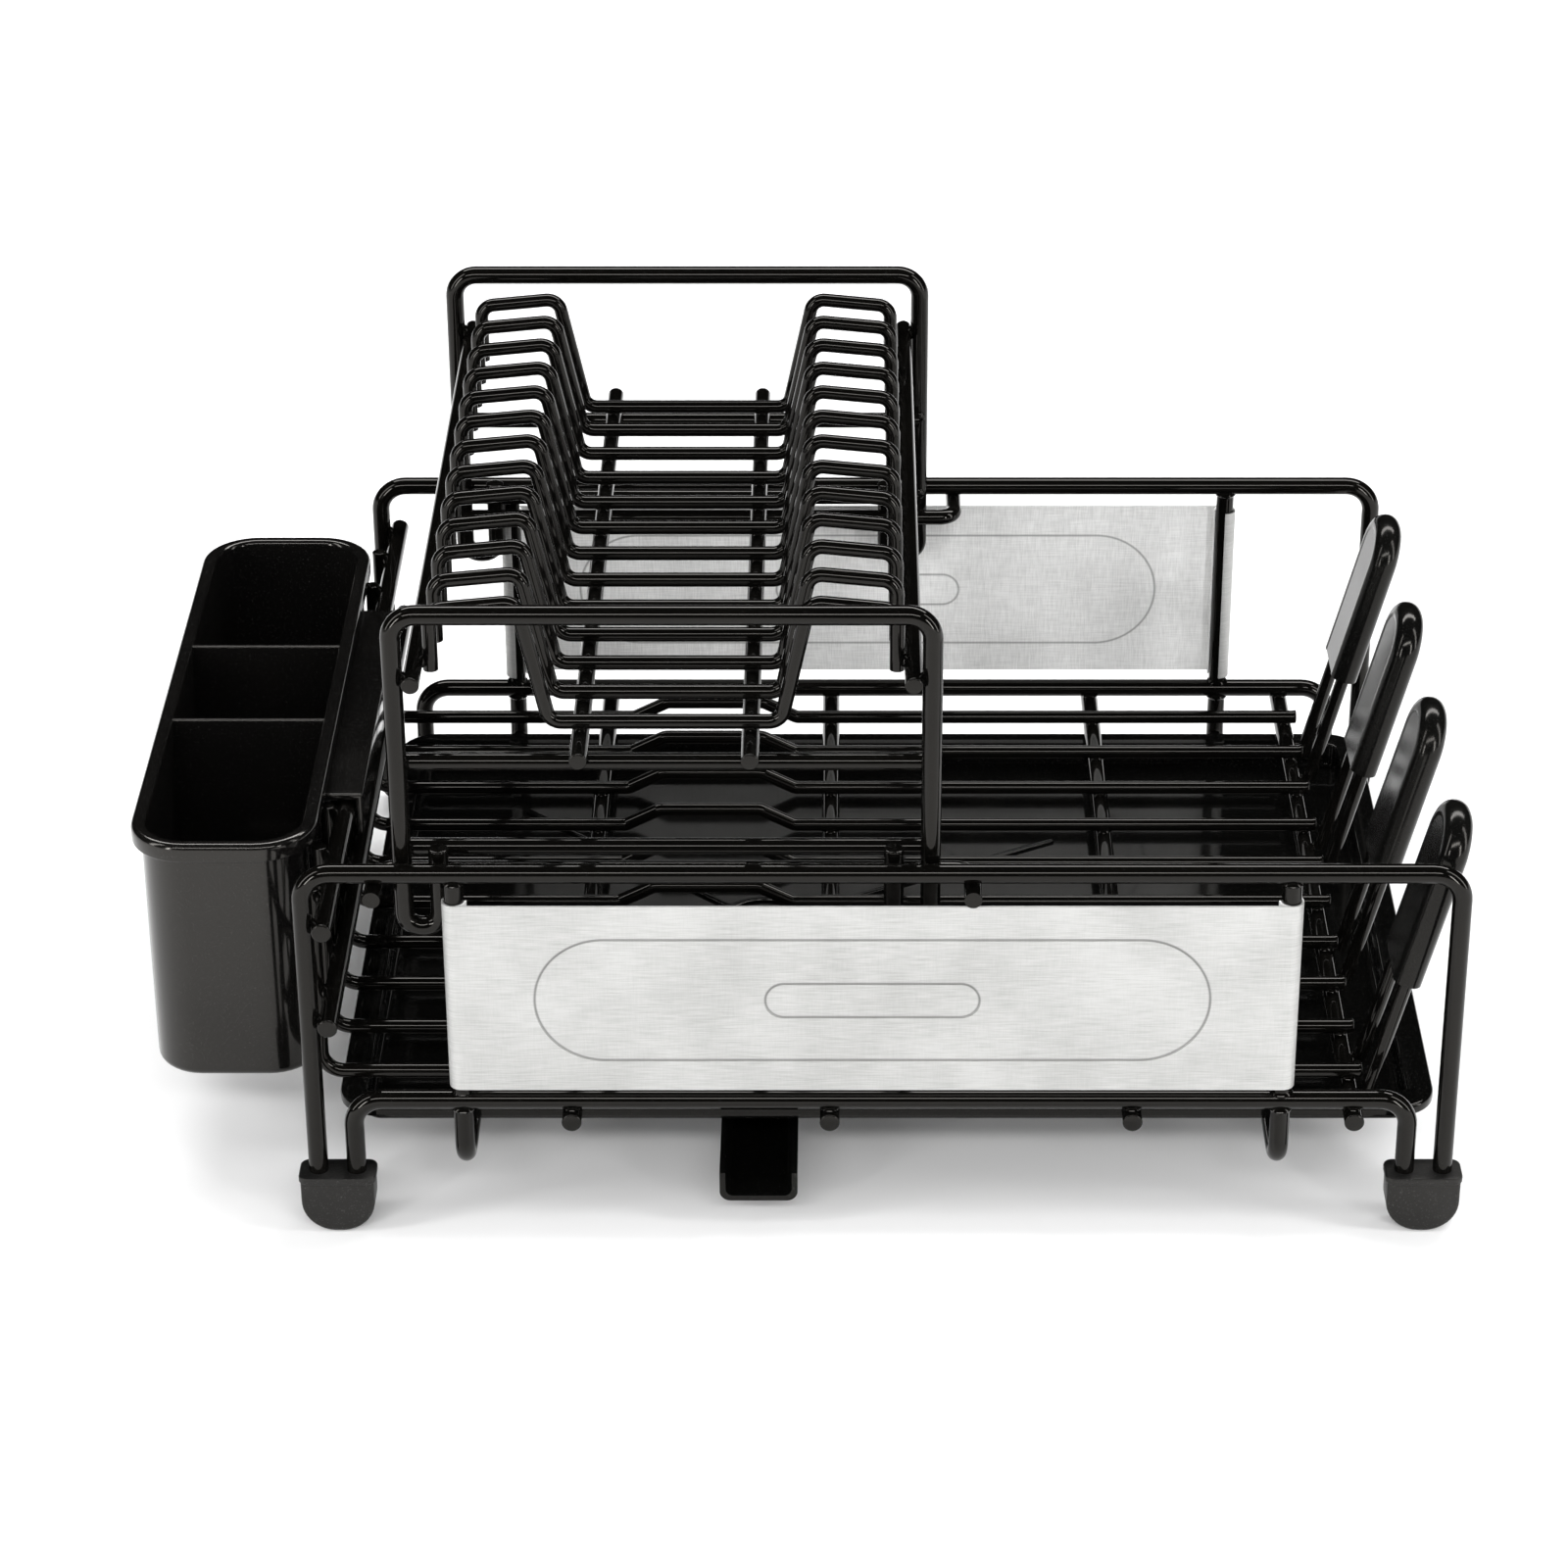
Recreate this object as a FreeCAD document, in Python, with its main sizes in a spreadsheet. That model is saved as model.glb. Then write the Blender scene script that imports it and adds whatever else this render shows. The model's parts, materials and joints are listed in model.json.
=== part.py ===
import FreeCAD, Part
import math
import os
import re

import Sketcher
from FreeCAD import Placement, Rotation, Vector

# Dish drying rack, millimetres, +Z up.
# X runs along the long side, -Y is the front, and the ground is Z = 0.
# X positions in the table are measured from the middle of the two side frames;
# frame_shift moves them all so that the origin is under the middle of the whole object.

SIZES = [
    # wire gauges
    ("heavy_radius", 4.0, "frame, runner and hoop wire"),
    ("rail_radius", 3.5, "upper rack rails and bars"),
    ("light_radius", 3.0, "floor, plate and hook wire"),
    ("weld_sink", 0.2, "how far two welded wires sink into each other"),
    ("frame_shift", 33.7, "middle of the side frames in the part's own frame"),
    # front and rear frames
    ("frame_half_length", 230.0, "outer legs"),
    ("frame_half_depth", 179.3, "front and rear frame planes"),
    ("inner_leg_half_length", 214.4, "inner legs"),
    ("rail_top", 165.7, "top rail"),
    ("rail_low", 60.0, "lower rail"),
    ("leg_low", 8.0, "bottom of the bend inside a foot"),
    ("corner_bend", 12.0, "bend radius of the frame corners"),
    ("foot_bend", 7.0, "bend radius inside a foot"),
    # feet
    ("foot_length", 30.0, ""),
    ("foot_depth", 14.0, ""),
    ("foot_height", 26.0, ""),
    ("foot_round", 13.8, "bottom corner radius"),
    ("foot_lip", 0.8, "how far the lip stands proud"),
    ("foot_lip_height", 3.0, ""),
    # panels and their posts
    ("post_left", -169.6, ""),
    ("post_right", 162.3, ""),
    ("panel_low", 67.5, ""),
    ("panel_high", 153.4, ""),
    ("sheet", 0.8, "panel thickness"),
    ("curl_radius", 5.0, "outside radius of the curled panel edge"),
    ("groove_width", 1.0, ""),
    ("groove_depth", 0.3, ""),
    ("groove_middle", -3.65, ""),
    ("groove_centre", 110.0, "height of the middle of the embossed rings"),
    ("large_ring_half_length", 135.5, ""),
    ("large_ring_half_height", 28.6, ""),
    ("small_ring_half_length", 43.3, ""),
    ("small_ring_half_height", 8.3, ""),
    # tray supports
    ("support_low", 30.0, "height of the bars that carry the tray"),
    ("support_bend", 10.0, ""),
    # floor
    ("runner_one", -125.5, ""),
    ("runner_two", -20.8, ""),
    ("runner_three", 102.1, ""),
    ("runner_four", 192.1, ""),
    ("runner_half_length", 185.0, ""),
    ("floor_pitch", 34.2, ""),
    ("floor_middle", -2.2, ""),
    ("floor_right", 197.2, "right ends of the floor wires"),
    ("floor_left", -229.0, "upturned left ends of the floor wires"),
    ("floor_rise", 145.0, "top of the upturned ends"),
    ("floor_bend", 9.0, ""),
    ("hump_middle", -75.0, ""),
    ("hump_foot", 38.0, "half length of the hump at the floor"),
    ("hump_crown", 22.5, "half length of the hump at its top"),
    ("hump_rise", 7.8, ""),
    ("hump_bend", 5.0, ""),
    # rails that the caddy hangs from
    ("caddy_rail", -222.2, ""),
    ("caddy_rail_high", 141.5, ""),
    ("caddy_rail_low", 97.0, ""),
    # cup hooks
    ("hook_lean", 14.4, "degrees from upright"),
    ("hook_pitch", 88.2, ""),
    ("hook_middle", -15.8, "middle of the row of hooks"),
    ("hook_half_width", 13.2, "half distance between the legs"),
    ("hook_foot", 52.0, "height of the lower ends"),
    ("hook_length", 125.0, "along the lean, centre line"),
    ("hook_bend", 12.6, ""),
    ("sleeve_start", 55.0, "along the lean"),
    ("sleeve_radius", 6.0, "radius of a sleeve's round edges"),
    ("sleeve_web", 11.4, "thickness of a sleeve between its edges"),
    # drip tray
    ("tray_middle_x", 2.7, ""),
    ("tray_middle_y", -4.0, ""),
    ("tray_half_length", 225.7, ""),
    ("tray_half_depth", 162.0, ""),
    ("tray_high", 47.2, ""),
    ("tray_low", 34.4, ""),
    ("tray_wall", 1.6, ""),
    ("tray_flange", 10.0, ""),
    ("tray_skirt", 4.4, ""),
    ("tray_corner", 14.0, ""),
    ("rib_width", 3.0, ""),
    ("rib_height", 1.2, ""),
    ("rib_length", 150.0, ""),
    ("drain_x", -50.0, ""),
    ("drain_y", 0.0, ""),
    ("drain_ring", 22.0, ""),
    ("neck_radius", 12.0, ""),
    ("neck_bore", 10.0, ""),
    ("neck_low", 20.6, ""),
    ("neck_bead", 0.8, "how far the snap bead stands out"),
    ("neck_bead_height", 1.6, ""),
    # spout
    ("spout_half_width", 16.0, ""),
    ("spout_low", 11.5, ""),
    ("spout_high", 25.0, ""),
    ("spout_reach", 181.0, "from the pivot to the tip"),
    ("spout_wall", 2.4, ""),
    ("spout_bend", 4.5, ""),
    ("spout_cap", 2.2, "thickness of the disc that snaps on the neck"),
    ("running_gap", 0.1, ""),
    # utensil caddy
    ("caddy_middle_x", -267.5, ""),
    ("caddy_half_width", 34.0, ""),
    ("caddy_half_length", 139.4, ""),
    ("caddy_low", 45.0, ""),
    ("caddy_high", 157.5, ""),
    ("caddy_corner", 20.0, ""),
    ("caddy_wall", 2.2, ""),
    ("caddy_lip", 3.9, "how far the rim stands out"),
    ("caddy_lip_height", 8.0, ""),
    ("divider", 2.6, ""),
    ("divider_front", -32.0, ""),
    ("divider_rear", 36.0, ""),
    ("hanger_half_length", 85.0, ""),
    ("hanger_gap", 0.4, "between the hanger and its rail"),
    ("hanger_sheet", 3.0, ""),
    ("hanger_drop", 16.0, ""),
    # upper plate rack
    ("tier_middle", -85.5, ""),
    ("tier_half_length", 104.9, ""),
    ("tier_half_depth", 169.5, ""),
    ("tier_top", 275.0, ""),
    ("tier_bend", 10.0, ""),
    ("tier_foot_low", 136.0, ""),
    ("tier_prong", 14.6, "from a leg to its upturned end"),
    ("tier_prong_top", 171.3, ""),
    ("tier_foot_bend", 6.8, ""),
    ("tier_rail_half_length", 175.0, ""),
    ("tier_rail_high", 247.0, ""),
    ("tier_low_rail", 33.6, "half distance between the lower rails"),
    ("tier_bar_high", 206.8, ""),
    ("tier_bar_middle", 168.3, ""),
    ("clip_height", 157.8, ""),
    ("clip_left", -201.5, ""),
    ("clip_right", 36.0, ""),
    ("clip_end", 187.0, ""),
    ("clip_bend", 7.0, ""),
    ("plate_pitch", 25.1, ""),
    ("plate_middle", -2.6, ""),
    ("plate_leg_low", 243.2, ""),
    ("plate_shoulder", 269.0, ""),
    ("plate_peak", 272.4, ""),
    ("plate_peak_half", 57.0, ""),
    ("plate_base_half", 45.6, ""),
    ("plate_bend", 6.0, ""),
]

FLOOR_WIRES = 10
PLATE_WIRES = 13
CUP_HOOKS = 4

doc = FreeCAD.newDocument("DishRack")
sheet = doc.addObject("Spreadsheet::Sheet", "Sizes")
for row, (alias, value, note) in enumerate(SIZES, start=1):
    sheet.set(f"A{row}", note or alias)
    sheet.set(f"B{row}", str(value))
    sheet.setAlias(f"B{row}", alias)
doc.recompute()

ALIASES = {alias for alias, _, _ in SIZES}
subparts = []


def qualified(text):
    """Point every sheet word of an expression at the sheet."""
    def point(word):
        return "Sizes." + word.group() if word.group() in ALIASES else word.group()

    return re.sub(r"[a-z_]+", point, text)


def number(text):
    return float(sheet.evalExpression(qualified(text)))


def bind(item, **expressions):
    """Bind properties; a double underscore in a name stands for a dot."""
    for path, text in expressions.items():
        item.setExpression(path.replace("__", "."), qualified(text))


def place(item, x, y, z, rotation=Rotation()):
    item.Placement = Placement(Vector(number(x), number(y), number(z)), rotation)
    bind(item, Placement__Base__x=x, Placement__Base__y=y, Placement__Base__z=z)


def keep(item, label):
    """Register a finished sub-part under the name of its file."""
    item.Label = label
    subparts.append(item)
    return item


# ---------------------------------------------------------------- sketches

UPRIGHT_X = Rotation(Vector(1, 0, 0), 90)
UPRIGHT_Y = Rotation(Vector(1, 1, 1), 120)
FLAT = Rotation()


def arc_at(corner, before, after, radius):
    """Arc that rounds a corner, with its ends in path order."""
    inward = (before - corner).normalize()
    onward = (after - corner).normalize()
    half = inward.getAngle(onward) / 2
    first = corner + inward * (radius / math.tan(half))
    last = corner + onward * (radius / math.tan(half))
    centre = corner + (inward + onward).normalize() * (radius / math.sin(half))
    turns_left = inward.cross(onward).z < 0
    start, end = (first, last) if turns_left else (last, first)
    angles = [math.atan2(point.y - centre.y, point.x - centre.x) for point in (start, end)]
    if angles[1] < angles[0]:
        angles[1] += 2 * math.pi
    arc = Part.ArcOfCircle(Part.Circle(centre, Vector(0, 0, 1), radius), *angles)
    return arc, first, last, (1, 2) if turns_left else (2, 1)


def outline(name, corners, where, rotation, closed=False):
    """Sketch of straight runs joined by tangent arcs.

    Each corner is (across, up, bend radius), as expressions; the ends of an open path have no bend.
    """
    sketch = doc.addObject("Sketcher::SketchObject", name)
    place(sketch, *where, rotation)
    points = [Vector(number(across), number(up), 0) for across, up, _ in corners]
    count = len(points)
    arcs = {}
    for index in range(count):
        if closed or 0 < index < count - 1:
            before, after = points[index - 1], points[(index + 1) % count]
            arcs[index] = arc_at(points[index], before, after, number(corners[index][2]))
    runs = count if closed else count - 1
    geometry = []
    for index in range(runs):
        following = (index + 1) % count
        start = arcs[index][2] if index in arcs else points[index]
        end = arcs[following][1] if following in arcs else points[following]
        geometry.append(Part.LineSegment(start, end))
    arc_ids = {}
    for index, arc in arcs.items():
        arc_ids[index] = len(geometry)
        geometry.append(arc[0])
    sketch.addGeometry(geometry, False)
    corner_ids = {index: sketch.addGeometry(Part.Point(points[index]), True) for index in arcs}

    constraints, bound = [], []
    for index, (across, up, bend) in enumerate(corners):
        if index in arcs:
            incoming, outgoing = (index - 1) % count, index
            first_end, last_end = arcs[index][3]
            constraints += [
                Sketcher.Constraint("Tangent", incoming, 2, arc_ids[index], first_end),
                Sketcher.Constraint("Tangent", arc_ids[index], last_end, outgoing, 1),
                Sketcher.Constraint("PointOnObject", corner_ids[index], 1, incoming),
                Sketcher.Constraint("PointOnObject", corner_ids[index], 1, outgoing),
            ]
            bound.append((len(constraints), bend))
            constraints.append(Sketcher.Constraint("Radius", arc_ids[index], number(bend)))
            anchor = (corner_ids[index], 1)
        else:
            anchor = (0, 1) if index == 0 else (runs - 1, 2)
        for kind, text in (("DistanceX", across), ("DistanceY", up)):
            bound.append((len(constraints), text))
            constraints.append(Sketcher.Constraint(kind, -1, 1, *anchor, number(text)))
    sketch.addConstraint(constraints)
    for index, text in bound:
        sketch.setExpression(f"Constraints[{index}]", qualified(text))
    return sketch


def rounded(name, middle, half, where, rotation, bend):
    """Closed rounded rectangle about a middle point; all entries are expressions."""
    (across, up), (half_across, half_up) = middle, half
    signs = ((-1, -1), (1, -1), (1, 1), (-1, 1))
    corners = [(f"{across} + {s} * ({half_across})", f"{up} + {t} * ({half_up})", bend) for s, t in signs]
    return outline(name, corners, where, rotation, closed=True)


# ---------------------------------------------------------------- solids

def bent_wire(label, corners, where, rotation, radius):
    """Round wire swept along a bent path."""
    path = outline(label + "_path", corners, where, rotation)
    section = doc.addObject("Part::Circle", label + "_section")
    bind(section, Radius=radius)
    section.AttachmentSupport = [(path, "Edge1")]
    section.MapMode = "NormalToEdge"
    section.MapPathParameter = 0.0
    wire = doc.addObject("Part::Sweep", label)
    wire.Sections = [section]
    wire.Spine = path
    wire.Solid = True
    return wire


def extrusion(name, sketch, length, direction=Vector(0, 0, 1)):
    solid = doc.addObject("Part::Extrusion", name)
    solid.Base = sketch
    solid.DirMode = "Custom"
    solid.Dir = direction
    solid.Solid = True
    bind(solid, LengthFwd=length)
    return solid


def box(name, corner, size):
    solid = doc.addObject("Part::Box", name)
    bind(solid, Length=size[0], Width=size[1], Height=size[2])
    place(solid, *corner)
    return solid


def cylinder(name, base, radius, height):
    solid = doc.addObject("Part::Cylinder", name)
    bind(solid, Radius=radius, Height=height)
    place(solid, *base)
    return solid


def fuse(name, solids):
    joined = doc.addObject("Part::MultiFuse", name)
    joined.Shapes = solids
    return joined


def cut(name, base, tool):
    result = doc.addObject("Part::Cut", name)
    result.Base = base
    result.Tool = tool
    return result


def common(name, solids):
    result = doc.addObject("Part::MultiCommon", name)
    result.Shapes = solids
    return result


SIDES = (("front", -1), ("rear", 1))
ENDS = (("left", -1), ("right", 1))


# ---------------------------------------------------------------- front and rear frames

def side_frame(side, sign):
    """One closed loop: top rail, outer legs, bends inside the feet, inner legs and lower rail."""
    def half(end):
        corners = [
            ("inner_leg_half_length", "rail_low", "corner_bend"),
            ("inner_leg_half_length", "leg_low", "foot_bend"),
            ("frame_half_length", "leg_low", "foot_bend"),
            ("frame_half_length", "rail_top", "corner_bend"),
        ]
        return [(f"{end} * {across}", up, bend) for across, up, bend in corners]

    middle = ("0", "rail_low", None)
    corners = [middle] + half(-1) + half(1)[::-1] + [middle]
    where = ("frame_shift", f"{sign} * frame_half_depth", "0")
    return bent_wire(f"{side}_frame", corners, where, UPRIGHT_X, "heavy_radius")


def foot(side, sign, end, end_sign, frame):
    """Moulded foot that wraps the bend of a frame's two legs."""
    middle = f"{end_sign} * (frame_half_length + inner_leg_half_length) / 2"
    near = f"{sign} * frame_half_depth + foot_depth / 2"
    label = f"foot_{side}_{end}"
    half = "foot_length / 2"
    corners = [
        (f"{middle} - {half}", "foot_height", "foot_lip"),
        (f"{middle} - {half}", "0", "foot_round"),
        (f"{middle} + {half}", "0", "foot_round"),
        (f"{middle} + {half}", "foot_height", "foot_lip"),
    ]
    profile = outline(label + "_profile", corners, ("frame_shift", near, "0"), UPRIGHT_X, closed=True)
    body = extrusion(label + "_body", profile, "foot_depth", Vector(0, -1, 0))
    rim = rounded(
        label + "_rim_profile",
        (middle, f"{sign} * frame_half_depth"),
        ("foot_length / 2 + foot_lip", "foot_depth / 2 + foot_lip"),
        ("frame_shift", "0", "foot_height - foot_lip_height"), FLAT, "foot_lip_height",
    )
    lip = extrusion(label + "_lip", rim, "foot_lip_height")
    return cut(label, fuse(label + "_solid", [body, lip]), frame)


frames = {}
for side, sign in SIDES:
    frames[side] = keep(side_frame(side, sign), f"{side}_frame")
for side, sign in SIDES:
    for end, end_sign in ENDS:
        label = f"foot_{side}_{end}"
        keep(foot(side, sign, end, end_sign, frames[side]), label)


# ---------------------------------------------------------------- posts, panels and tray supports

def post(side, sign, end):
    solid = doc.addObject("Part::Cylinder", f"post_{side}_{end}")
    low = "rail_low + heavy_radius - weld_sink"
    bind(solid, Radius="heavy_radius", Height=f"rail_top - heavy_radius + weld_sink - ({low})")
    place(solid, f"frame_shift + post_{end}", f"{sign} * frame_half_depth", low)
    return solid


def panel(side, sign):
    """Thin sheet with its two upright edges curled round the posts, and two embossed rings."""
    height = "panel_high - panel_low"
    outer_face = f"{sign} * (frame_half_depth + curl_radius)"
    pieces = []
    near = f"{outer_face} - sheet" if sign > 0 else outer_face
    pieces.append(box(
        f"{side}_panel_sheet",
        ("frame_shift + post_left", near, "panel_low"),
        ("post_right - post_left", "sheet", height),
    ))
    for end, end_sign in ENDS:
        base = (f"frame_shift + post_{end}", f"{sign} * frame_half_depth", "panel_low")
        name = f"{side}_panel_curl_{end}"
        tube = cylinder(name + "_tube", base, "curl_radius", height)
        bore = cylinder(name + "_bore", base, "curl_radius - sheet", height)
        slit = box(
            name + "_slit",
            (f"{base[0]} - ({1 + end_sign} / 2) * curl_radius",
             f"{base[1]} - ({1 + sign} / 2) * curl_radius", "panel_low"),
            ("curl_radius", "curl_radius", height),
        )
        pieces.append(cut(name, tube, fuse(name + "_hollow", [bore, slit])))
    body = fuse(f"{side}_panel_body", pieces)
    grooves = []
    for ring in ("large", "small"):
        name = f"{side}_{ring}_ring"
        where = ("frame_shift", f"{outer_face} + groove_depth", "0")
        centre = ("groove_middle", "groove_centre")
        half_length, half_height = f"{ring}_ring_half_length", f"{ring}_ring_half_height"
        outer = rounded(name + "_outer", centre, (half_length, half_height), where, UPRIGHT_X,
                        f"{half_height} - groove_width / 2")
        inner = rounded(name + "_inner", centre,
                        (f"{half_length} - groove_width", f"{half_height} - groove_width"),
                        where, UPRIGHT_X, f"{half_height} - 1.5 * groove_width")
        deep = Vector(0, -1, 0)
        grooves.append(cut(
            name,
            extrusion(name + "_block", outer, "2 * groove_depth", deep),
            extrusion(name + "_core", inner, "2 * groove_depth", deep),
        ))
    return cut(f"{side}_panel", body, fuse(f"{side}_grooves", grooves))


def tray_support(end):
    """U of wire that hangs from both lower rails and carries the tray."""
    top = "rail_low - heavy_radius + weld_sink"
    corners = [
        ("-frame_half_depth", top, None),
        ("-frame_half_depth", "support_low", "support_bend"),
        ("frame_half_depth", "support_low", "support_bend"),
        ("frame_half_depth", top, None),
    ]
    where = (f"frame_shift + post_{end}", "0", "0")
    return bent_wire(f"tray_support_{end}", corners, where, UPRIGHT_Y, "heavy_radius")


for side, sign in SIDES:
    pair = doc.addObject("Part::Compound", f"{side}_posts")
    pair.Links = [post(side, sign, end) for end, _ in ENDS]
    keep(pair, f"{side}_posts")
    keep(panel(side, sign), f"{side}_panel")
for end, _ in ENDS:
    keep(tray_support(end), f"tray_support_{end}")


# ---------------------------------------------------------------- basket floor

RUNNER_HEIGHT = "(rail_low - 2 * heavy_radius + weld_sink)"
FLOOR_HEIGHT = f"({RUNNER_HEIGHT} + heavy_radius + light_radius - weld_sink)"


def along_y(label, across, height, half_length, radius):
    """Straight wire that runs from front to back."""
    wire = doc.addObject("Part::Cylinder", label)
    bind(wire, Radius=radius, Height=f"2 * ({half_length})")
    place(wire, f"frame_shift + {across}", f"-({half_length})", height, Rotation(Vector(1, 0, 0), -90))
    return wire


def floor_wire(index):
    """Floor wire with a raised step, turned up at its left end beside the caddy rails."""
    def hump(offset, rise):
        return (f"hump_middle + {offset}", f"{FLOOR_HEIGHT} + {rise}", "hump_bend")

    corners = [
        ("floor_right", FLOOR_HEIGHT, None),
        hump("hump_foot", "0"),
        hump("hump_crown", "hump_rise"),
        hump("-hump_crown", "hump_rise"),
        hump("-hump_foot", "0"),
        ("floor_left", FLOOR_HEIGHT, "floor_bend"),
        ("floor_left", "floor_rise", None),
    ]
    offset = index - (FLOOR_WIRES - 1) / 2
    where = ("frame_shift", f"floor_middle + {offset} * floor_pitch", "0")
    return bent_wire(f"floor_wire_{index + 1}", corners, where, UPRIGHT_X, "light_radius")


for number_word in ("one", "two", "three", "four"):
    label = f"floor_runner_{number_word}"
    wire = along_y(label, f"runner_{number_word}", RUNNER_HEIGHT, "runner_half_length", "heavy_radius")
    keep(wire, label)
for index in range(FLOOR_WIRES):
    keep(floor_wire(index), f"floor_wire_{index + 1}")
for level in ("high", "low"):
    label = f"caddy_rail_{level}"
    wire = along_y(label, "caddy_rail", f"caddy_rail_{level}", "runner_half_length", "heavy_radius")
    keep(wire, label)


# ---------------------------------------------------------------- cup hooks

LEAN = Rotation(Vector(0, 1, 0), number("hook_lean")).multiply(UPRIGHT_Y)
HOOK_X = "(frame_shift + runner_four + (heavy_radius + light_radius - weld_sink) / cos(hook_lean * 1 deg))"


def hook_corners(low, end_bend=None):
    """Inverted U in the leaning plane; a closed outline also rounds its two lower corners."""
    return [
        ("-hook_half_width", low, end_bend),
        ("-hook_half_width", "hook_length", "hook_bend"),
        ("hook_half_width", "hook_length", "hook_bend"),
        ("hook_half_width", low, end_bend),
    ]


def cup_hook(index, y):
    where = (HOOK_X, y, "hook_foot")
    return bent_wire(f"cup_hook_{index + 1}", hook_corners("0"), where, LEAN, "light_radius")


def hook_sleeve(index, y, hook):
    """Flat moulded sleeve with full-round edges, pushed over the top of a hook."""
    label = f"hook_sleeve_{index + 1}"
    where = (HOOK_X, y, "hook_foot")
    profile = outline(label + "_profile", hook_corners("sleeve_start", "weld_sink"), where, LEAN, closed=True)
    slab = doc.addObject("Part::Extrusion", label + "_web")
    slab.Base = profile
    slab.DirMode = "Normal"
    slab.Solid = True
    slab.Symmetric = True
    bind(slab, LengthFwd="sleeve_web")
    edge = bent_wire(label + "_edge", hook_corners("sleeve_start"), where, LEAN, "sleeve_radius")
    return cut(label, fuse(label + "_solid", [slab, edge]), hook)


for index in range(CUP_HOOKS):
    offset = (CUP_HOOKS - 1) / 2 - index
    y = f"hook_middle + {offset} * hook_pitch"
    hook = keep(cup_hook(index, y), f"cup_hook_{index + 1}")
    keep(hook_sleeve(index, y, hook), f"hook_sleeve_{index + 1}")


# ---------------------------------------------------------------- drip tray and spout

def tray_block(name, inset, low, high):
    """Rounded block concentric with the tray's outer edge."""
    profile = rounded(
        name + "_profile",
        ("tray_middle_x", "tray_middle_y"),
        (f"tray_half_length - ({inset})", f"tray_half_depth - ({inset})"),
        ("frame_shift", "0", low), FLAT, "tray_corner",
    )
    return extrusion(name, profile, f"{high} - ({low})")


def drip_tray():
    """Shallow tray with a turned-down flange, four ribs that lead to a drain, and a drain neck."""
    centre = ("frame_shift + drain_x", "drain_y")
    floor_top = "tray_low + tray_wall"
    shelf = tray_block("tray_shelf", "0", "tray_high - tray_skirt", "tray_high")
    under = tray_block("tray_under", "tray_wall", "tray_high - tray_skirt", "tray_high - tray_wall")
    basin = tray_block("tray_basin", "tray_flange", "tray_low", "tray_high")
    hollow = tray_block("tray_hollow", "tray_flange + tray_wall", floor_top, "tray_high + tray_wall")
    ribs = []
    for side, sign in SIDES:
        for end, end_sign in ENDS:
            rib = box(f"tray_rib_{side}_{end}", (*centre, "tray_low"),
                      ("rib_length", "rib_width", "tray_wall + rib_height"))
            run = number(f"{end_sign} * tray_half_length + tray_middle_x - drain_x")
            rise = number(f"{sign} * tray_half_depth + tray_middle_y - drain_y")
            spin = Rotation(Vector(0, 0, 1), math.degrees(math.atan2(rise, run)))
            place(rib, *centre, "tray_low", spin)
            ribs.append(rib)
    ring = cylinder("drain_ring_solid", (*centre, floor_top), "drain_ring", "rib_height")
    neck = cylinder("neck_tube", (*centre, "neck_low"), "neck_radius", "tray_low - neck_low + tray_wall")
    bead = cylinder("neck_bead_ring", (*centre, "neck_low"), "neck_radius + neck_bead", "neck_bead_height")
    dish = cylinder("drain_dish", (*centre, floor_top), "drain_ring - rib_width", "2 * rib_height")
    bore = cylinder("neck_hole", (*centre, "neck_low"), "neck_bore", "tray_high - neck_low")
    shell = cut("tray_shell", fuse("tray_outer", [cut("tray_rim", shelf, under), basin]), hollow)
    raised = fuse("tray_raised", [shell, ring, neck, bead] + ribs)
    return cut("drip_tray", raised, fuse("drain_opening", [dish, bore]))


def spout_block(name, wall, overrun):
    """Channel block: its plan, rounded behind the pivot, cut to a section with rounded lower edges."""
    half = f"spout_half_width - ({wall})"
    reach = f"-(spout_reach + {overrun})"
    low = f"spout_low + {wall}"
    bend = f"spout_bend - {wall} / 2"
    plan = outline(name + "_plan", [
        (f"-({half})", reach, "weld_sink"),
        (half, reach, "weld_sink"),
        (half, half, f"{half} - weld_sink"),
        (f"-({half})", half, f"{half} - weld_sink"),
    ], ("frame_shift + drain_x", "drain_y", low), FLAT, closed=True)
    section = outline(name + "_section", [
        (f"-({half})", low, bend),
        (half, low, bend),
        (half, f"spout_high + {overrun}", "weld_sink"),
        (f"-({half})", f"spout_high + {overrun}", "weld_sink"),
    ], ("frame_shift + drain_x", "drain_y + spout_half_width", "0"), UPRIGHT_X, closed=True)
    return common(name, [
        extrusion(name + "_prism", plan, f"spout_high + {overrun} - ({low})"),
        extrusion(name + "_channel", section, f"spout_reach + 2 * spout_half_width + {overrun}", Vector(0, -1, 0)),
    ])


def drain_spout():
    """Open channel that swivels on the drain neck."""
    centre = ("frame_shift + drain_x", "drain_y")
    channel = cut("spout_open", spout_block("spout_outer", "0", "0"), spout_block("spout_inner", "spout_wall", "5"))
    cap = cylinder("spout_cap_disc", (*centre, "spout_high - spout_cap"), "spout_half_width - weld_sink", "spout_cap")
    hole = cylinder("spout_hole", (*centre, "spout_high - 2 * spout_cap"), "neck_radius + running_gap",
                    "3 * spout_cap")
    return cut("drain_spout", fuse("spout_solid", [channel, cap]), hole)


keep(drip_tray(), "drip_tray")
keep(drain_spout(), "drain_spout")


# ---------------------------------------------------------------- utensil caddy

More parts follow.
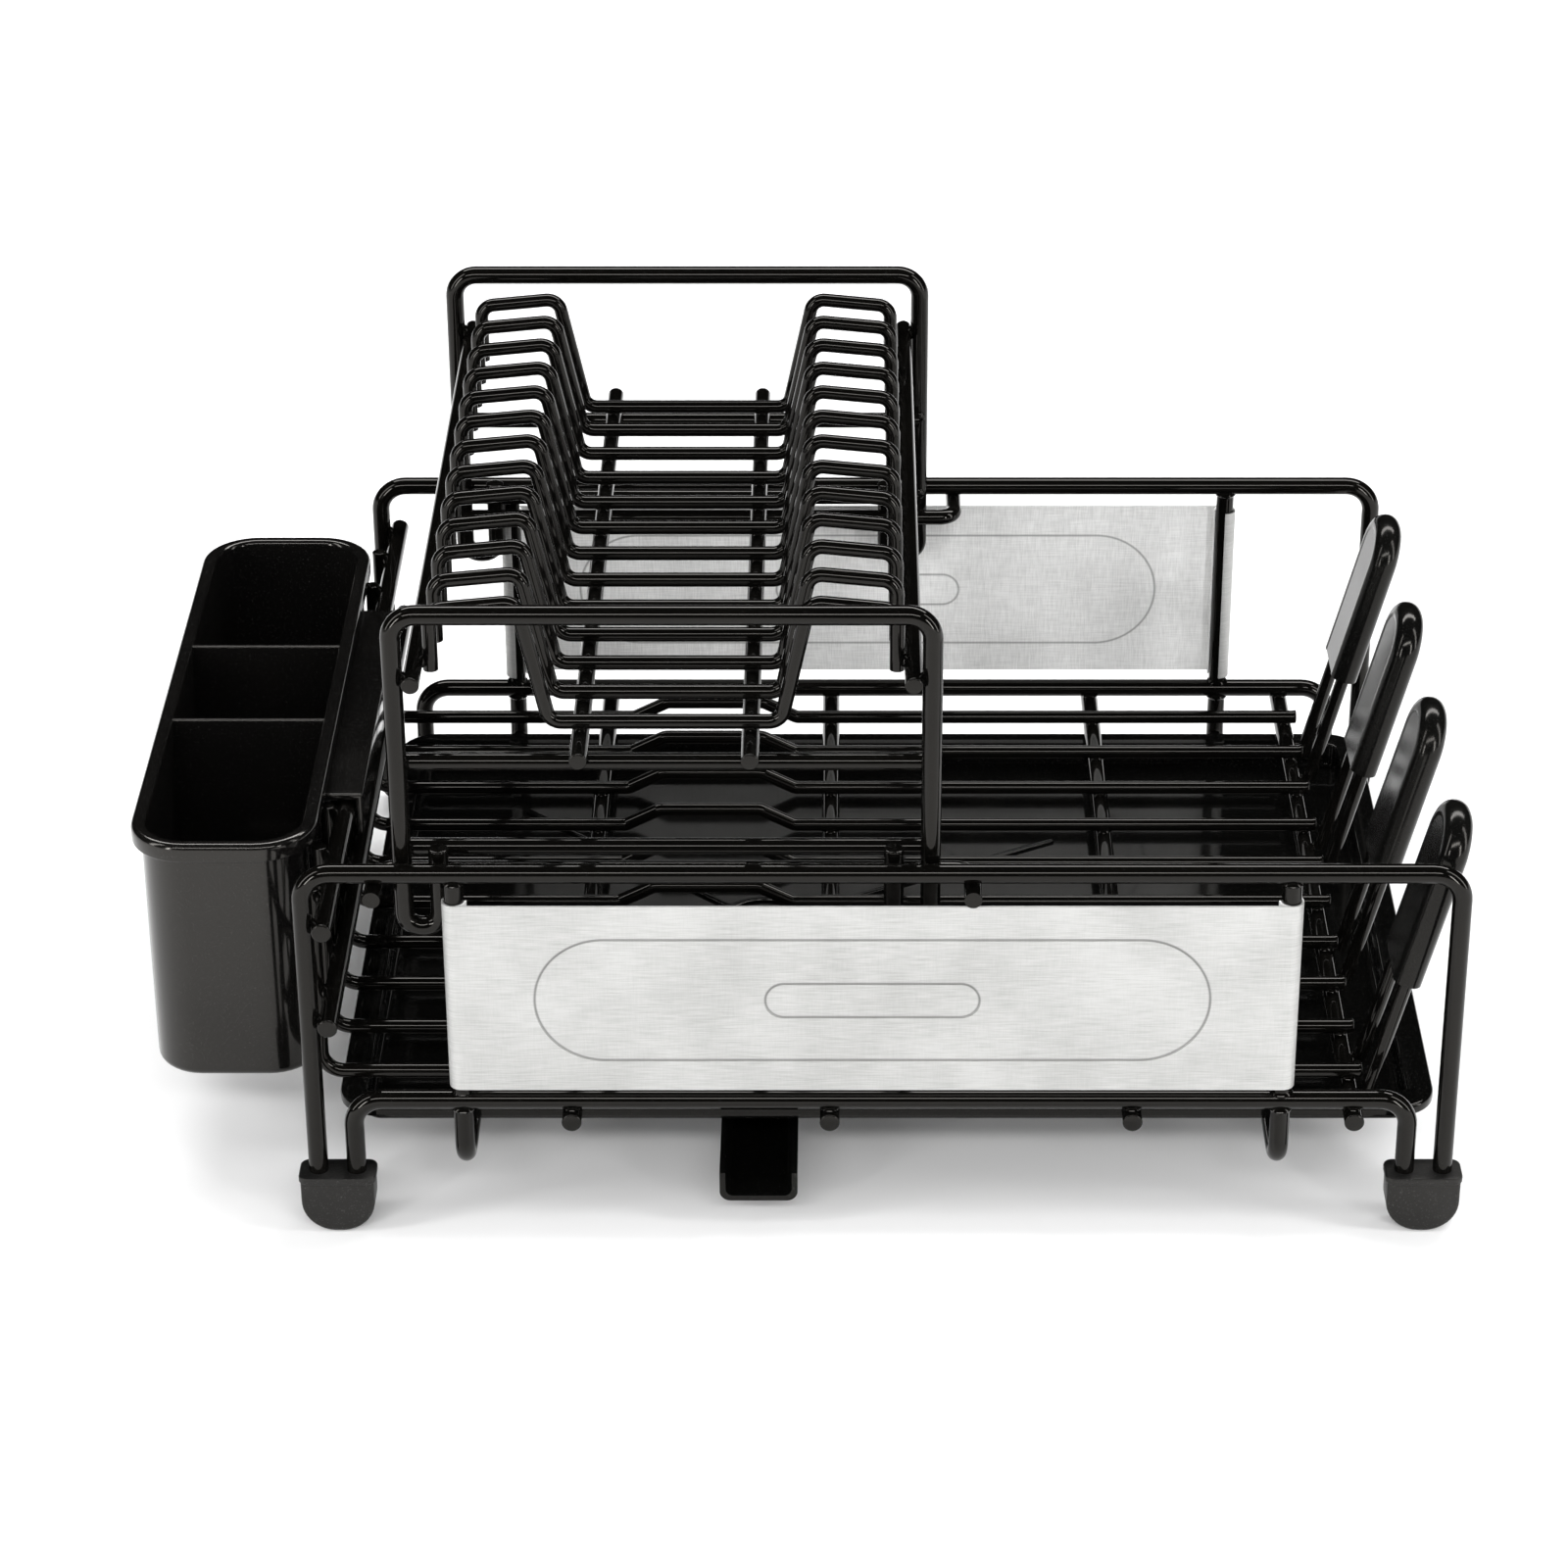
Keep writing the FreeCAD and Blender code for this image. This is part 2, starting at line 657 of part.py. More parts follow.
def utensil_caddy():
    """Deep open box with two dividers, a thick rim and a hanger that hooks over the upper caddy rail."""
    middle = ("caddy_middle_x", "0")

    def block(name, grow, low, high):
        profile = rounded(name + "_profile", middle, (f"caddy_half_width + {grow}", f"caddy_half_length + {grow}"),
                          ("frame_shift", "0", low), FLAT, f"caddy_corner + {grow}")
        return extrusion(name, profile, f"{high} - ({low})")

    body = block("caddy_body", "0", "caddy_low", "caddy_high")
    rim = block("caddy_rim", "caddy_lip", "caddy_high - caddy_lip_height", "caddy_high")
    spaces = (
        ("front", "-caddy_half_length + caddy_wall", "divider_front - divider / 2"),
        ("middle", "divider_front + divider / 2", "divider_rear - divider / 2"),
        ("rear", "divider_rear + divider / 2", "caddy_half_length - caddy_wall"),
    )
    hollow = block("caddy_hollow", "-caddy_wall", "caddy_low + caddy_wall", "caddy_high + caddy_wall")
    rooms = []
    for name, start, end in spaces:
        corner = ("frame_shift + caddy_middle_x - caddy_half_width", start, "caddy_low + caddy_wall")
        size = ("2 * caddy_half_width", f"({end}) - ({start})", "caddy_high")
        rooms.append(box(f"caddy_room_{name}", corner, size))
    compartments = common("caddy_compartments", [hollow, fuse("caddy_rooms", rooms)])
    shelf_low = "caddy_rail_high + heavy_radius + hanger_gap"
    inner_edge = "caddy_rail + heavy_radius + hanger_gap"
    wall_face = "caddy_middle_x + caddy_half_width"
    shelf = box(
        "hanger_shelf",
        (f"frame_shift + {wall_face} - caddy_wall / 2", "-hanger_half_length", shelf_low),
        (f"{inner_edge} + hanger_sheet - ({wall_face}) + caddy_wall / 2", "2 * hanger_half_length", "hanger_sheet"),
    )
    drop = box(
        "hanger_lip",
        (f"frame_shift + {inner_edge}", "-hanger_half_length", f"{shelf_low} - hanger_drop"),
        ("hanger_sheet", "2 * hanger_half_length", "hanger_drop + hanger_sheet"),
    )
    outer = fuse("caddy_outer", [body, rim])
    return fuse("utensil_caddy", [cut("caddy_open", outer, compartments), shelf, drop])


keep(utensil_caddy(), "utensil_caddy")


# ---------------------------------------------------------------- upper plate rack

BAR_DEPTH = "(tier_half_depth - heavy_radius - rail_radius + weld_sink)"
LOW_RAIL_HEIGHT = "(tier_bar_high + 2 * rail_radius - weld_sink)"
PLATE_HEIGHT = f"({LOW_RAIL_HEIGHT} + rail_radius + light_radius - weld_sink)"
TIER_RAIL = "(tier_half_length - heavy_radius - rail_radius + weld_sink)"
PLATE_LEG = f"({TIER_RAIL} - rail_radius - light_radius + weld_sink)"


def tier_hoop(side, sign):
    """Inverted U whose legs turn up again at the bottom."""
    def half(end):
        leg = f"tier_middle + {end} * tier_half_length"
        prong = f"tier_middle + {end} * (tier_half_length - tier_prong)"
        return [
            (prong, "tier_prong_top", None),
            (prong, "tier_foot_low", "tier_foot_bend"),
            (leg, "tier_foot_low", "tier_foot_bend"),
            (leg, "tier_top", "tier_bend"),
        ]

    corners = half(-1) + half(1)[::-1]
    where = ("frame_shift", f"{sign} * tier_half_depth", "0")
    return bent_wire(f"tier_hoop_{side}", corners, where, UPRIGHT_X, "heavy_radius")


def along_x(name, start, end, y, height, radius):
    wire = doc.addObject("Part::Cylinder", name)
    bind(wire, Radius=radius, Height=f"{end} - ({start})")
    place(wire, f"frame_shift + {start}", y, height, Rotation(Vector(0, 1, 0), 90))
    return wire


def tier_bars(side, sign):
    """Two cross bars between the legs, and the clip bar whose bent ends pass under the frame's top rail."""
    start, end = "tier_middle - tier_half_length", "tier_middle + tier_half_length"
    y = f"{sign} * {BAR_DEPTH}"
    bars = [
        along_x(f"tier_{side}_bar_high", start, end, y, "tier_bar_high", "rail_radius"),
        along_x(f"tier_{side}_bar_middle", start, end, y, "tier_bar_middle", "rail_radius"),
    ]
    corners = [
        ("clip_left", f"{sign} * clip_end", None),
        ("clip_left", y, "clip_bend"),
        ("clip_right", y, "clip_bend"),
        ("clip_right", f"{sign} * clip_end", None),
    ]
    where = ("frame_shift", "0", "clip_height")
    bars.append(bent_wire(f"tier_{side}_clip", corners, where, FLAT, "rail_radius"))
    group = doc.addObject("Part::Compound", f"tier_bars_{side}")
    group.Links = bars
    return group


def plate_wire(index):
    """Plate divider: outer leg, shoulder, steep slope, flat base, and the same again mirrored."""
    def half(end):
        return [
            (f"tier_middle + {end} * {PLATE_LEG}", "plate_leg_low", None),
            (f"tier_middle + {end} * {PLATE_LEG}", "plate_shoulder", "plate_bend"),
            (f"tier_middle + {end} * plate_peak_half", "plate_peak", "plate_bend"),
            (f"tier_middle + {end} * plate_base_half", PLATE_HEIGHT, "plate_bend"),
        ]

    corners = half(-1) + half(1)[::-1]
    offset = index - (PLATE_WIRES - 1) / 2
    where = ("frame_shift", f"plate_middle + {offset} * plate_pitch", "0")
    return bent_wire(f"plate_wire_{index + 1}", corners, where, UPRIGHT_X, "light_radius")


for side, sign in SIDES:
    keep(tier_hoop(side, sign), f"tier_hoop_{side}")
    keep(tier_bars(side, sign), f"tier_bars_{side}")
for end, end_sign in ENDS:
    for level, across, height in (("outer", TIER_RAIL, "tier_rail_high"), ("lower", "tier_low_rail", LOW_RAIL_HEIGHT)):
        label = f"tier_{level}_rail_{end}"
        position = f"tier_middle + {end_sign} * {across}"
        keep(along_y(label, position, height, "tier_rail_half_length", "rail_radius"), label)
for index in range(PLATE_WIRES):
    keep(plate_wire(index), f"plate_wire_{index + 1}")


# ---------------------------------------------------------------- check and export

doc.recompute()
failed = [item.Name for item in doc.Objects if "Invalid" in item.State or "Error" in item.State]
if failed:
    raise RuntimeError("objects that did not recompute: " + ", ".join(failed))
os.makedirs("parts", exist_ok=True)
for item in subparts:
    shape = item.Shape
    if shape.isNull() or not shape.isValid() or not shape.Solids:
        raise RuntimeError(item.Label + " has no valid solid")
for item in subparts:
    item.Shape.exportStep(os.path.join("parts", item.Label + ".step"))
    print(f"{item.Label}: {len(item.Shape.Solids)} solid(s), {item.Shape.Volume:.0f} mm3")
print(len(subparts), "nodes")
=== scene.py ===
import json
import math

import bmesh
import bpy
from mathutils import Matrix, Vector


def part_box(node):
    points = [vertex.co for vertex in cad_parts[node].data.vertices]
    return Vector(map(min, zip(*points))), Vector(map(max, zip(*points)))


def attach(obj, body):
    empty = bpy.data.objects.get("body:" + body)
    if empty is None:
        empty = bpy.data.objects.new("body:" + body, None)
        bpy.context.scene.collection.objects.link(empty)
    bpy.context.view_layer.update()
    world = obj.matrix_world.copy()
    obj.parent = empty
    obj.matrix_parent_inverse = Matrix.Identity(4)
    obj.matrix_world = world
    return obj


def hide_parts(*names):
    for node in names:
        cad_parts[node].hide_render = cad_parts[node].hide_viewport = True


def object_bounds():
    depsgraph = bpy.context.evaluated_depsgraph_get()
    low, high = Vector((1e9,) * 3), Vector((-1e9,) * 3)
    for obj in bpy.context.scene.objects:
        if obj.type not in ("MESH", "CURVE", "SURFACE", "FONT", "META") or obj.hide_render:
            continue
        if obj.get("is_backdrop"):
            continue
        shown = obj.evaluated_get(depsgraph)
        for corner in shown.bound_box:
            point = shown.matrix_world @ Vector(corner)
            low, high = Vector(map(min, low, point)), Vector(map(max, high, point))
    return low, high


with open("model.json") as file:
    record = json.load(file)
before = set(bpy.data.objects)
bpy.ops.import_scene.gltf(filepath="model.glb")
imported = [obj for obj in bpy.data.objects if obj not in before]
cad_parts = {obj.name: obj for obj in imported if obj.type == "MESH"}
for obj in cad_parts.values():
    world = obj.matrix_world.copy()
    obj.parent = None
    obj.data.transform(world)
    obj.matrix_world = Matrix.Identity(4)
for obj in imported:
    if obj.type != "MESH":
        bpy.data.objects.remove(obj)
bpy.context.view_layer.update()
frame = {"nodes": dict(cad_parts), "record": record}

# %% [markdown]
# # A wire dish drying rack
# The wires, panels, feet and plastic parts come from the imported CAD model and stay exactly
# where they are. This lesson gives each one its finish, remakes the moulded parts whose soft
# edges matter, and adds the small things that a fabricator leaves behind: weld beads where
# wires cross and rounded ends on cut wire. Everything is in metres, with +Z up, the front of
# the rack towards -Y, and the origin on the worktop under the middle of the rack.

# %% Units and the imported parts
MM = 0.001
record = frame["record"]
nodes = frame["nodes"]

# %% [markdown]
# ## The camera
# A rack looks best from well back through a long lens, so that its wires stay nearly parallel.
# The camera stands a little more than a metre above the worktop and looks down at about 29
# degrees, straight along the depth of the rack.

# %% Place the camera
CAMERA_PLACE = (0.0171, -1.7311, 1.0649)
CAMERA_PITCH = 28.96
CAMERA_LENS = 104.3
CAMERA_SENSOR = 36
CAMERA_SHIFT = -0.0357

camera_data = bpy.data.cameras.new("product_camera")
camera_data.lens = CAMERA_LENS
camera_data.sensor_width = CAMERA_SENSOR
camera_data.shift_x = CAMERA_SHIFT
camera = bpy.data.objects.new("product_camera", camera_data)
camera.location = CAMERA_PLACE
camera.rotation_euler = (math.radians(90 - CAMERA_PITCH), 0, 0)
bpy.context.scene.collection.objects.link(camera)
bpy.context.scene.camera = camera
print("camera at", CAMERA_PLACE)

# %% [markdown]
# ## Light and floor
# Gloss black wire shows nothing but what it reflects. Narrow soft boxes draw clean lines of
# light: the long level ones along the wires that run across, and the tall ones along the legs.
# The surrounding light is hidden from reflections, because a wire that mirrors a white room
# turns grey. The pale floor stays in them: it is what makes the upright faces of the caddy and
# the feet look satin.

# %% Lights
def soft_box(name, place, aim, size, power):
    """Rectangular light at a place, turned to face a point."""
    data = bpy.data.lights.new(name, "AREA")
    data.shape = "RECTANGLE"
    data.size, data.size_y = size
    data.energy = power
    lamp = bpy.data.objects.new(name, data)
    lamp.location = place
    lamp.rotation_euler = (Vector(aim) - Vector(place)).to_track_quat("-Z", "Y").to_euler()
    bpy.context.scene.collection.objects.link(lamp)


SOFT_BOXES = (
    ("overhead_box", (0.1, 0.7, 1.5), (0, 0, 0.1), (2.4, 0.32), 32),
    ("front_box", (-0.1, -1.9, 1.5), (0, 0, 0.1), (2.4, 0.22), 24),
    ("front_left_box", (-1.5, -1.9, 0.55), (0, 0, 0.1), (0.22, 1.0), 15),
    ("front_right_box", (1.5, -1.9, 0.55), (0, 0, 0.1), (0.22, 1.0), 15),
    ("left_box", (-1.5, -0.6, 0.9), (0, 0, 0.12), (0.25, 1.6), 10),
    ("right_box", (1.5, -0.5, 0.8), (0, 0, 0.12), (0.25, 1.6), 10),
)
for values in SOFT_BOXES:
    soft_box(*values)
print(len(SOFT_BOXES), "soft boxes")

# %% Floor and surrounding light
WORLD_STRENGTH = 0.55
world = bpy.data.worlds.new("studio")
world.use_nodes = True
background = world.node_tree.nodes["Background"]
background.inputs["Color"].default_value = (1, 1, 1, 1)
background.inputs["Strength"].default_value = WORLD_STRENGTH
bpy.context.scene.world = world
world.cycles_visibility.glossy = False

FLOOR_HALF = 6.0
FLOOR_HEIGHT = -0.0005
FLOOR_COLOR = (0.92, 0.92, 0.92, 1)
corners = [(x * FLOOR_HALF, y * FLOOR_HALF, FLOOR_HEIGHT)
           for x, y in ((-1, -1), (1, -1), (1, 1), (-1, 1))]
floor_mesh = bpy.data.meshes.new("floor")
floor_mesh.from_pydata(corners, [], [(0, 1, 2, 3)])
floor = bpy.data.objects.new("floor", floor_mesh)
bpy.context.scene.collection.objects.link(floor)
floor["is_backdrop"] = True
floor_finish = bpy.data.materials.new("pale_floor")
floor_finish.use_nodes = True
floor_shader = floor_finish.node_tree.nodes["Principled BSDF"]
floor_shader.inputs["Base Color"].default_value = FLOOR_COLOR
floor_shader.inputs["Roughness"].default_value = 0.9
floor_shader.inputs["Specular IOR Level"].default_value = 0.0
floor_mesh.materials.append(floor_finish)
bpy.context.scene.view_settings.view_transform = "Standard"
print("floor and world light")

# %% [markdown]
# ## Effects that several finishes share
# A shader node group is built once and placed in each material with its own values. Two are
# needed here. "coat_flow" is the faint unevenness of a sprayed or moulded skin: slow waves in
# the surface, a little difference in gloss, and specks of dust. "brush_lines" is the mark of an
# abrasive belt: thousands of short scratches along one direction, with some across them.

# %% A helper for node groups
def new_group(name, inputs, outputs):
    """Shader node group with typed sockets; inputs carry their default values."""
    group = bpy.data.node_groups.new(name, "ShaderNodeTree")
    for label, kind, value in inputs:
        socket = group.interface.new_socket(label, in_out="INPUT", socket_type=kind)
        socket.default_value = value
    for label, kind in outputs:
        group.interface.new_socket(label, in_out="OUTPUT", socket_type=kind)
    return group, group.nodes.new("NodeGroupInput"), group.nodes.new("NodeGroupOutput")


def add(tree, kind, links=(), **settings):
    """Adds a node, sets its properties, and fills or links its inputs."""
    node = tree.nodes.new(kind)
    for key, value in settings.items():
        setattr(node, key, value)
    for socket, value in dict(links).items():
        if isinstance(value, bpy.types.NodeSocket):
            tree.links.new(value, node.inputs[socket])
        else:
            node.inputs[socket].default_value = value
    return node


def place_group(tree, group, values):
    """Places a shader group in a material and fills or links its inputs by name."""
    node = add(tree, "ShaderNodeGroup", node_tree=group)
    for label, value in values.items():
        if isinstance(value, bpy.types.NodeSocket):
            tree.links.new(value, node.inputs[label])
        else:
            node.inputs[label].default_value = value
    return node


# %% The coat_flow group
flow, flow_in, flow_out = new_group(
    "coat_flow",
    [("Vector", "NodeSocketVector", (0, 0, 0)), ("Wave Scale", "NodeSocketFloat", 60.0),
     ("Wave Height", "NodeSocketFloat", 0.03), ("Gloss Low", "NodeSocketFloat", 0.1),
     ("Gloss High", "NodeSocketFloat", 0.2), ("Dust", "NodeSocketFloat", 0.03),
     ("Dark", "NodeSocketColor", (0.002, 0.002, 0.002, 1)),
     ("Pale", "NodeSocketColor", (0.005, 0.005, 0.005, 1))],
    [("Color", "NodeSocketColor"), ("Roughness", "NodeSocketFloat"), ("Normal", "NodeSocketVector")])
SMEAR_SCALE, SPECK_SCALE = 28.0, 1500.0
DUST_COLOR = (0.6, 0.6, 0.58, 1)
WAVE_DEPTH = 0.0003
point = flow_in.outputs["Vector"]
wave = add(flow, "ShaderNodeTexNoise",
           {"Vector": point, "Scale": flow_in.outputs["Wave Scale"], "Detail": 2.0})
smear = add(flow, "ShaderNodeTexNoise", {"Vector": point, "Scale": SMEAR_SCALE, "Detail": 4.0})
speck = add(flow, "ShaderNodeTexNoise", {"Vector": point, "Scale": SPECK_SCALE, "Detail": 1.0})
speck_mask = add(flow, "ShaderNodeMapRange",
                 {"Value": speck.outputs["Fac"], "From Min": 0.62, "From Max": 0.78})
dust = add(flow, "ShaderNodeMath", {0: speck_mask.outputs["Result"], 1: flow_in.outputs["Dust"]},
           operation="MULTIPLY")
gloss = add(flow, "ShaderNodeMapRange",
            {"Value": smear.outputs["Fac"], "From Min": 0.3, "From Max": 0.7,
             "To Min": flow_in.outputs["Gloss Low"], "To Max": flow_in.outputs["Gloss High"]})
rough = add(flow, "ShaderNodeMath", {0: gloss.outputs["Result"], 1: dust.outputs["Value"]},
            operation="ADD")
tone = add(flow, "ShaderNodeMix",
           {0: smear.outputs["Fac"], 6: flow_in.outputs["Dark"], 7: flow_in.outputs["Pale"]},
           data_type="RGBA")
dusty = add(flow, "ShaderNodeMix", {0: dust.outputs["Value"], 6: tone.outputs[2], 7: DUST_COLOR},
            data_type="RGBA")
ripple = add(flow, "ShaderNodeBump",
             {"Height": wave.outputs["Fac"], "Strength": flow_in.outputs["Wave Height"],
              "Distance": WAVE_DEPTH})
flow.links.new(dusty.outputs[2], flow_out.inputs["Color"])
flow.links.new(rough.outputs["Value"], flow_out.inputs["Roughness"])
flow.links.new(ripple.outputs["Normal"], flow_out.inputs["Normal"])
print("group coat_flow")

# %% The brush_lines group
brush, brush_in, brush_out = new_group(
    "brush_lines",
    [("Vector", "NodeSocketVector", (0, 0, 0)), ("Dark", "NodeSocketColor", (0.45, 0.45, 0.45, 1)),
     ("Pale", "NodeSocketColor", (0.8, 0.8, 0.8, 1)), ("Crossing", "NodeSocketFloat", 0.3),
     ("Depth", "NodeSocketFloat", 0.15)],
    [("Color", "NodeSocketColor"), ("Roughness", "NodeSocketFloat"), ("Normal", "NodeSocketVector")])
ALONG_SCALE, ACROSS_SCALE, CLOUD_SCALE = (90.0, 1.0, 2600.0), (1800.0, 1.0, 130.0), 22.0
CLOUD_SHARE = 0.35
SCRATCH_DEPTH = 0.0002
point = brush_in.outputs["Vector"]
along = add(brush, "ShaderNodeMapping", {"Vector": point, "Scale": ALONG_SCALE})
along_lines = add(brush, "ShaderNodeTexNoise",
                  {"Vector": along.outputs["Vector"], "Scale": 1.0, "Detail": 5.0})
across = add(brush, "ShaderNodeMapping", {"Vector": point, "Scale": ACROSS_SCALE})
across_lines = add(brush, "ShaderNodeTexNoise",
                   {"Vector": across.outputs["Vector"], "Scale": 1.0, "Detail": 4.0})
cloud = add(brush, "ShaderNodeTexNoise", {"Vector": point, "Scale": CLOUD_SCALE, "Detail": 3.0})
crossed = add(brush, "ShaderNodeMix",
              {0: brush_in.outputs["Crossing"], 2: along_lines.outputs["Fac"],
               3: across_lines.outputs["Fac"]})
patchy = add(brush, "ShaderNodeMix", {0: CLOUD_SHARE, 2: crossed.outputs[0], 3: cloud.outputs["Fac"]})
spread = add(brush, "ShaderNodeMapRange",
             {"Value": patchy.outputs[0], "From Min": 0.36, "From Max": 0.6})
steel = add(brush, "ShaderNodeMix",
            {0: spread.outputs["Result"], 6: brush_in.outputs["Dark"], 7: brush_in.outputs["Pale"]},
            data_type="RGBA")
dull = add(brush, "ShaderNodeMapRange", {"Value": crossed.outputs[0], "To Min": 0.46, "To Max": 0.62})
scratch = add(brush, "ShaderNodeBump",
              {"Height": crossed.outputs[0], "Strength": brush_in.outputs["Depth"],
               "Distance": SCRATCH_DEPTH})
brush.links.new(steel.outputs[2], brush_out.inputs["Color"])
brush.links.new(dull.outputs["Result"], brush_out.inputs["Roughness"])
brush.links.new(scratch.outputs["Normal"], brush_out.inputs["Normal"])
print("group brush_lines")

# %% [markdown]
# ## The finishes
# Five of the six finishes are black, and they differ only in gloss, in the texture of the skin
# and in how dark they are, so one function makes them all from the coat_flow group. The steel
# of the two side panels is the only bright finish.

# %% Black finishes
WARM_GLOSS = (1.0, 0.96, 0.9, 1)


def black_finish(name, values, specular):
    """Material whose colour, roughness and normal come from coat_flow."""
    material = bpy.data.materials.new(name)
    material.use_nodes = True
    tree = material.node_tree
    shader = tree.nodes["Principled BSDF"]
    shader.inputs["Specular IOR Level"].default_value = specular
    shader.inputs["Specular Tint"].default_value = WARM_GLOSS
    place = add(tree, "ShaderNodeTexCoord").outputs["Object"]
    effect = place_group(tree, flow, {"Vector": place, **values})
    tree.links.new(effect.outputs["Color"], shader.inputs["Base Color"])
    tree.links.new(effect.outputs["Roughness"], shader.inputs["Roughness"])
    tree.links.new(effect.outputs["Normal"], shader.inputs["Normal"])
    return material


finishes = {
    "coated_wire": black_finish("gloss_wire_coating", {
        "Wave Scale": 60.0, "Wave Height": 0.006, "Gloss Low": 0.04, "Gloss High": 0.08, "Dust": 0.01,
        "Dark": (0.001, 0.001, 0.001, 1), "Pale": (0.003, 0.0027, 0.0022, 1)}, 0.24),
    "sleeve_plastic": black_finish("hook_sleeve_plastic", {
        "Wave Scale": 60.0, "Wave Height": 0.03, "Gloss Low": 0.12, "Gloss High": 0.2, "Dust": 0.02,
        "Dark": (0.002, 0.002, 0.002, 1), "Pale": (0.004, 0.004, 0.0035, 1)}, 0.2),
    "caddy_plastic": black_finish("caddy_plastic", {
        "Wave Scale": 40.0, "Wave Height": 0.03, "Gloss Low": 0.09, "Gloss High": 0.15, "Dust": 0.03,
        "Dark": (0.002, 0.002, 0.002, 1), "Pale": (0.005, 0.0046, 0.0042, 1)}, 0.4),
    "tray_plastic": black_finish("tray_plastic", {
        "Wave Scale": 30.0, "Wave Height": 0.02, "Gloss Low": 0.05, "Gloss High": 0.1, "Dust": 0.03,
        "Dark": (0.001, 0.001, 0.001, 1), "Pale": (0.003, 0.003, 0.0027, 1)}, 0.2),
    "foot_plastic": black_finish("foot_plastic", {
        "Wave Scale": 700.0, "Wave Height": 0.3, "Gloss Low": 0.34, "Gloss High": 0.48, "Dust": 0.05,
        "Dark": (0.004, 0.004, 0.004, 1), "Pale": (0.01, 0.01, 0.01, 1)}, 0.3),
}
print(len(finishes), "black finishes")

# %% [markdown]
# Two rings are pressed into each panel. The press leaves a fine groove, which the imported model
# has, and a darker line is painted along it: painted shade that stands in for the shade falling
# into the groove. The line is a mask: the distance from a rounded bar, worked out from the
# position, is near zero along the groove. Both rings use the same group with their own sizes.

# %% The group that masks the painted shade along a ring groove
ring, ring_in, ring_out = new_group(
    "ring_groove_shade",
    [("Vector", "NodeSocketVector", (0, 0, 0)), ("Middle", "NodeSocketVector", (0, 0, 0)),
     ("Half Length", "NodeSocketFloat", 0.1), ("Half Height", "NodeSocketFloat", 0.02),
     ("Line Width", "NodeSocketFloat", 0.001)],
    [("Mask", "NodeSocketFloat")])
offset = add(ring, "ShaderNodeVectorMath",
             {0: ring_in.outputs["Vector"], 1: ring_in.outputs["Middle"]}, operation="SUBTRACT")
parts = add(ring, "ShaderNodeSeparateXYZ", {0: offset.outputs[0]})
across_size = add(ring, "ShaderNodeMath", {0: parts.outputs["X"]}, operation="ABSOLUTE")
bar = add(ring, "ShaderNodeMath",
          {0: ring_in.outputs["Half Length"], 1: ring_in.outputs["Half Height"]}, operation="SUBTRACT")
past = add(ring, "ShaderNodeMath", {0: across_size.outputs[0], 1: bar.outputs[0]}, operation="SUBTRACT")
past_end = add(ring, "ShaderNodeMath", {0: past.outputs[0], 1: 0.0}, operation="MAXIMUM")
from_bar = add(ring, "ShaderNodeCombineXYZ", {"X": past_end.outputs[0], "Z": parts.outputs["Z"]})
distance = add(ring, "ShaderNodeVectorMath", {0: from_bar.outputs[0]}, operation="LENGTH")
miss = add(ring, "ShaderNodeMath",
           {0: distance.outputs["Value"], 1: ring_in.outputs["Half Height"]}, operation="SUBTRACT")
gap = add(ring, "ShaderNodeMath", {0: miss.outputs[0]}, operation="ABSOLUTE")
line = add(ring, "ShaderNodeMapRange",
           {"Value": gap.outputs[0], "From Min": ring_in.outputs["Line Width"], "From Max": 0.0})
ring.links.new(line.outputs["Result"], ring_out.inputs["Mask"])
print("group ring_groove_shade")

# %% [markdown]
# The two faces of a panel aren't brushed alike: the show face, outside, is finer and more even,
# and the inner face has more marks across the grain. The inner face is also painted paler and less
# metallic, and the show face darker, as painted light and shade for how the lamps fall on each.
# Both panels are one material, and a mask tells the faces apart: a point is on a show face where it
# is further out than the middle of the sheet, or on one of the two edges that wrap round the posts.

# %% Which face of a panel
SHEET_HALF = 0.0005
SHEET_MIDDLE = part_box("rear_panel")[1].y - SHEET_HALF
FLAT_HALF = 0.165
RING_MIDDLE = (0.03005, 0, 0.110)

panel_steel = bpy.data.materials.new("panel_steel")
panel_steel.use_nodes = True
tree = panel_steel.node_tree
place = add(tree, "ShaderNodeTexCoord").outputs["Object"]
where = add(tree, "ShaderNodeSeparateXYZ", {0: place})
depth = add(tree, "ShaderNodeMath", {0: where.outputs["Y"]}, operation="ABSOLUTE")
past_sheet = add(tree, "ShaderNodeMath", {0: depth.outputs[0], 1: SHEET_MIDDLE},
                 operation="GREATER_THAN")
on_flat = add(tree, "ShaderNodeMath", {0: where.outputs["X"], 1: RING_MIDDLE[0], 2: FLAT_HALF},
              operation="COMPARE")
wrapped = add(tree, "ShaderNodeMath", {0: 1.0, 1: on_flat.outputs[0]}, operation="SUBTRACT")
outside = add(tree, "ShaderNodeMath", {0: past_sheet.outputs[0], 1: wrapped.outputs[0]},
              operation="MAXIMUM").outputs[0]
print("show face outside", round(SHEET_MIDDLE / MM, 2), "mm")

# %% Brushed steel
# Painted light and shade: the inner face's colours are paler and less metallic, and the show face's
# darker, for how the lamps fall on each. The stronger crossing marks on the inner face are real
# brushing.
INNER_WITH_PAINTED_LIGHT = {"dark": (0.66, 0.66, 0.65, 1), "pale": (0.98, 0.98, 0.97, 1), "crossing": 0.5, "metallic": 0.25}
SHOW_WITH_PAINTED_SHADE = {"dark": (0.38, 0.38, 0.37, 1), "pale": (0.53, 0.53, 0.52, 1), "crossing": 0.2, "metallic": 0.6}
SCRATCH_STRENGTH = 0.12
RING_SIZES = ((0.1350, 0.0281), (0.0428, 0.0078))
RING_WIDTH = 0.0008
# Colour of the painted shade along the ring grooves.
GROOVE_SHADE_COLOR = (0.10, 0.10, 0.097, 1)
GROOVE_SHADE_STRENGTH = 0.7

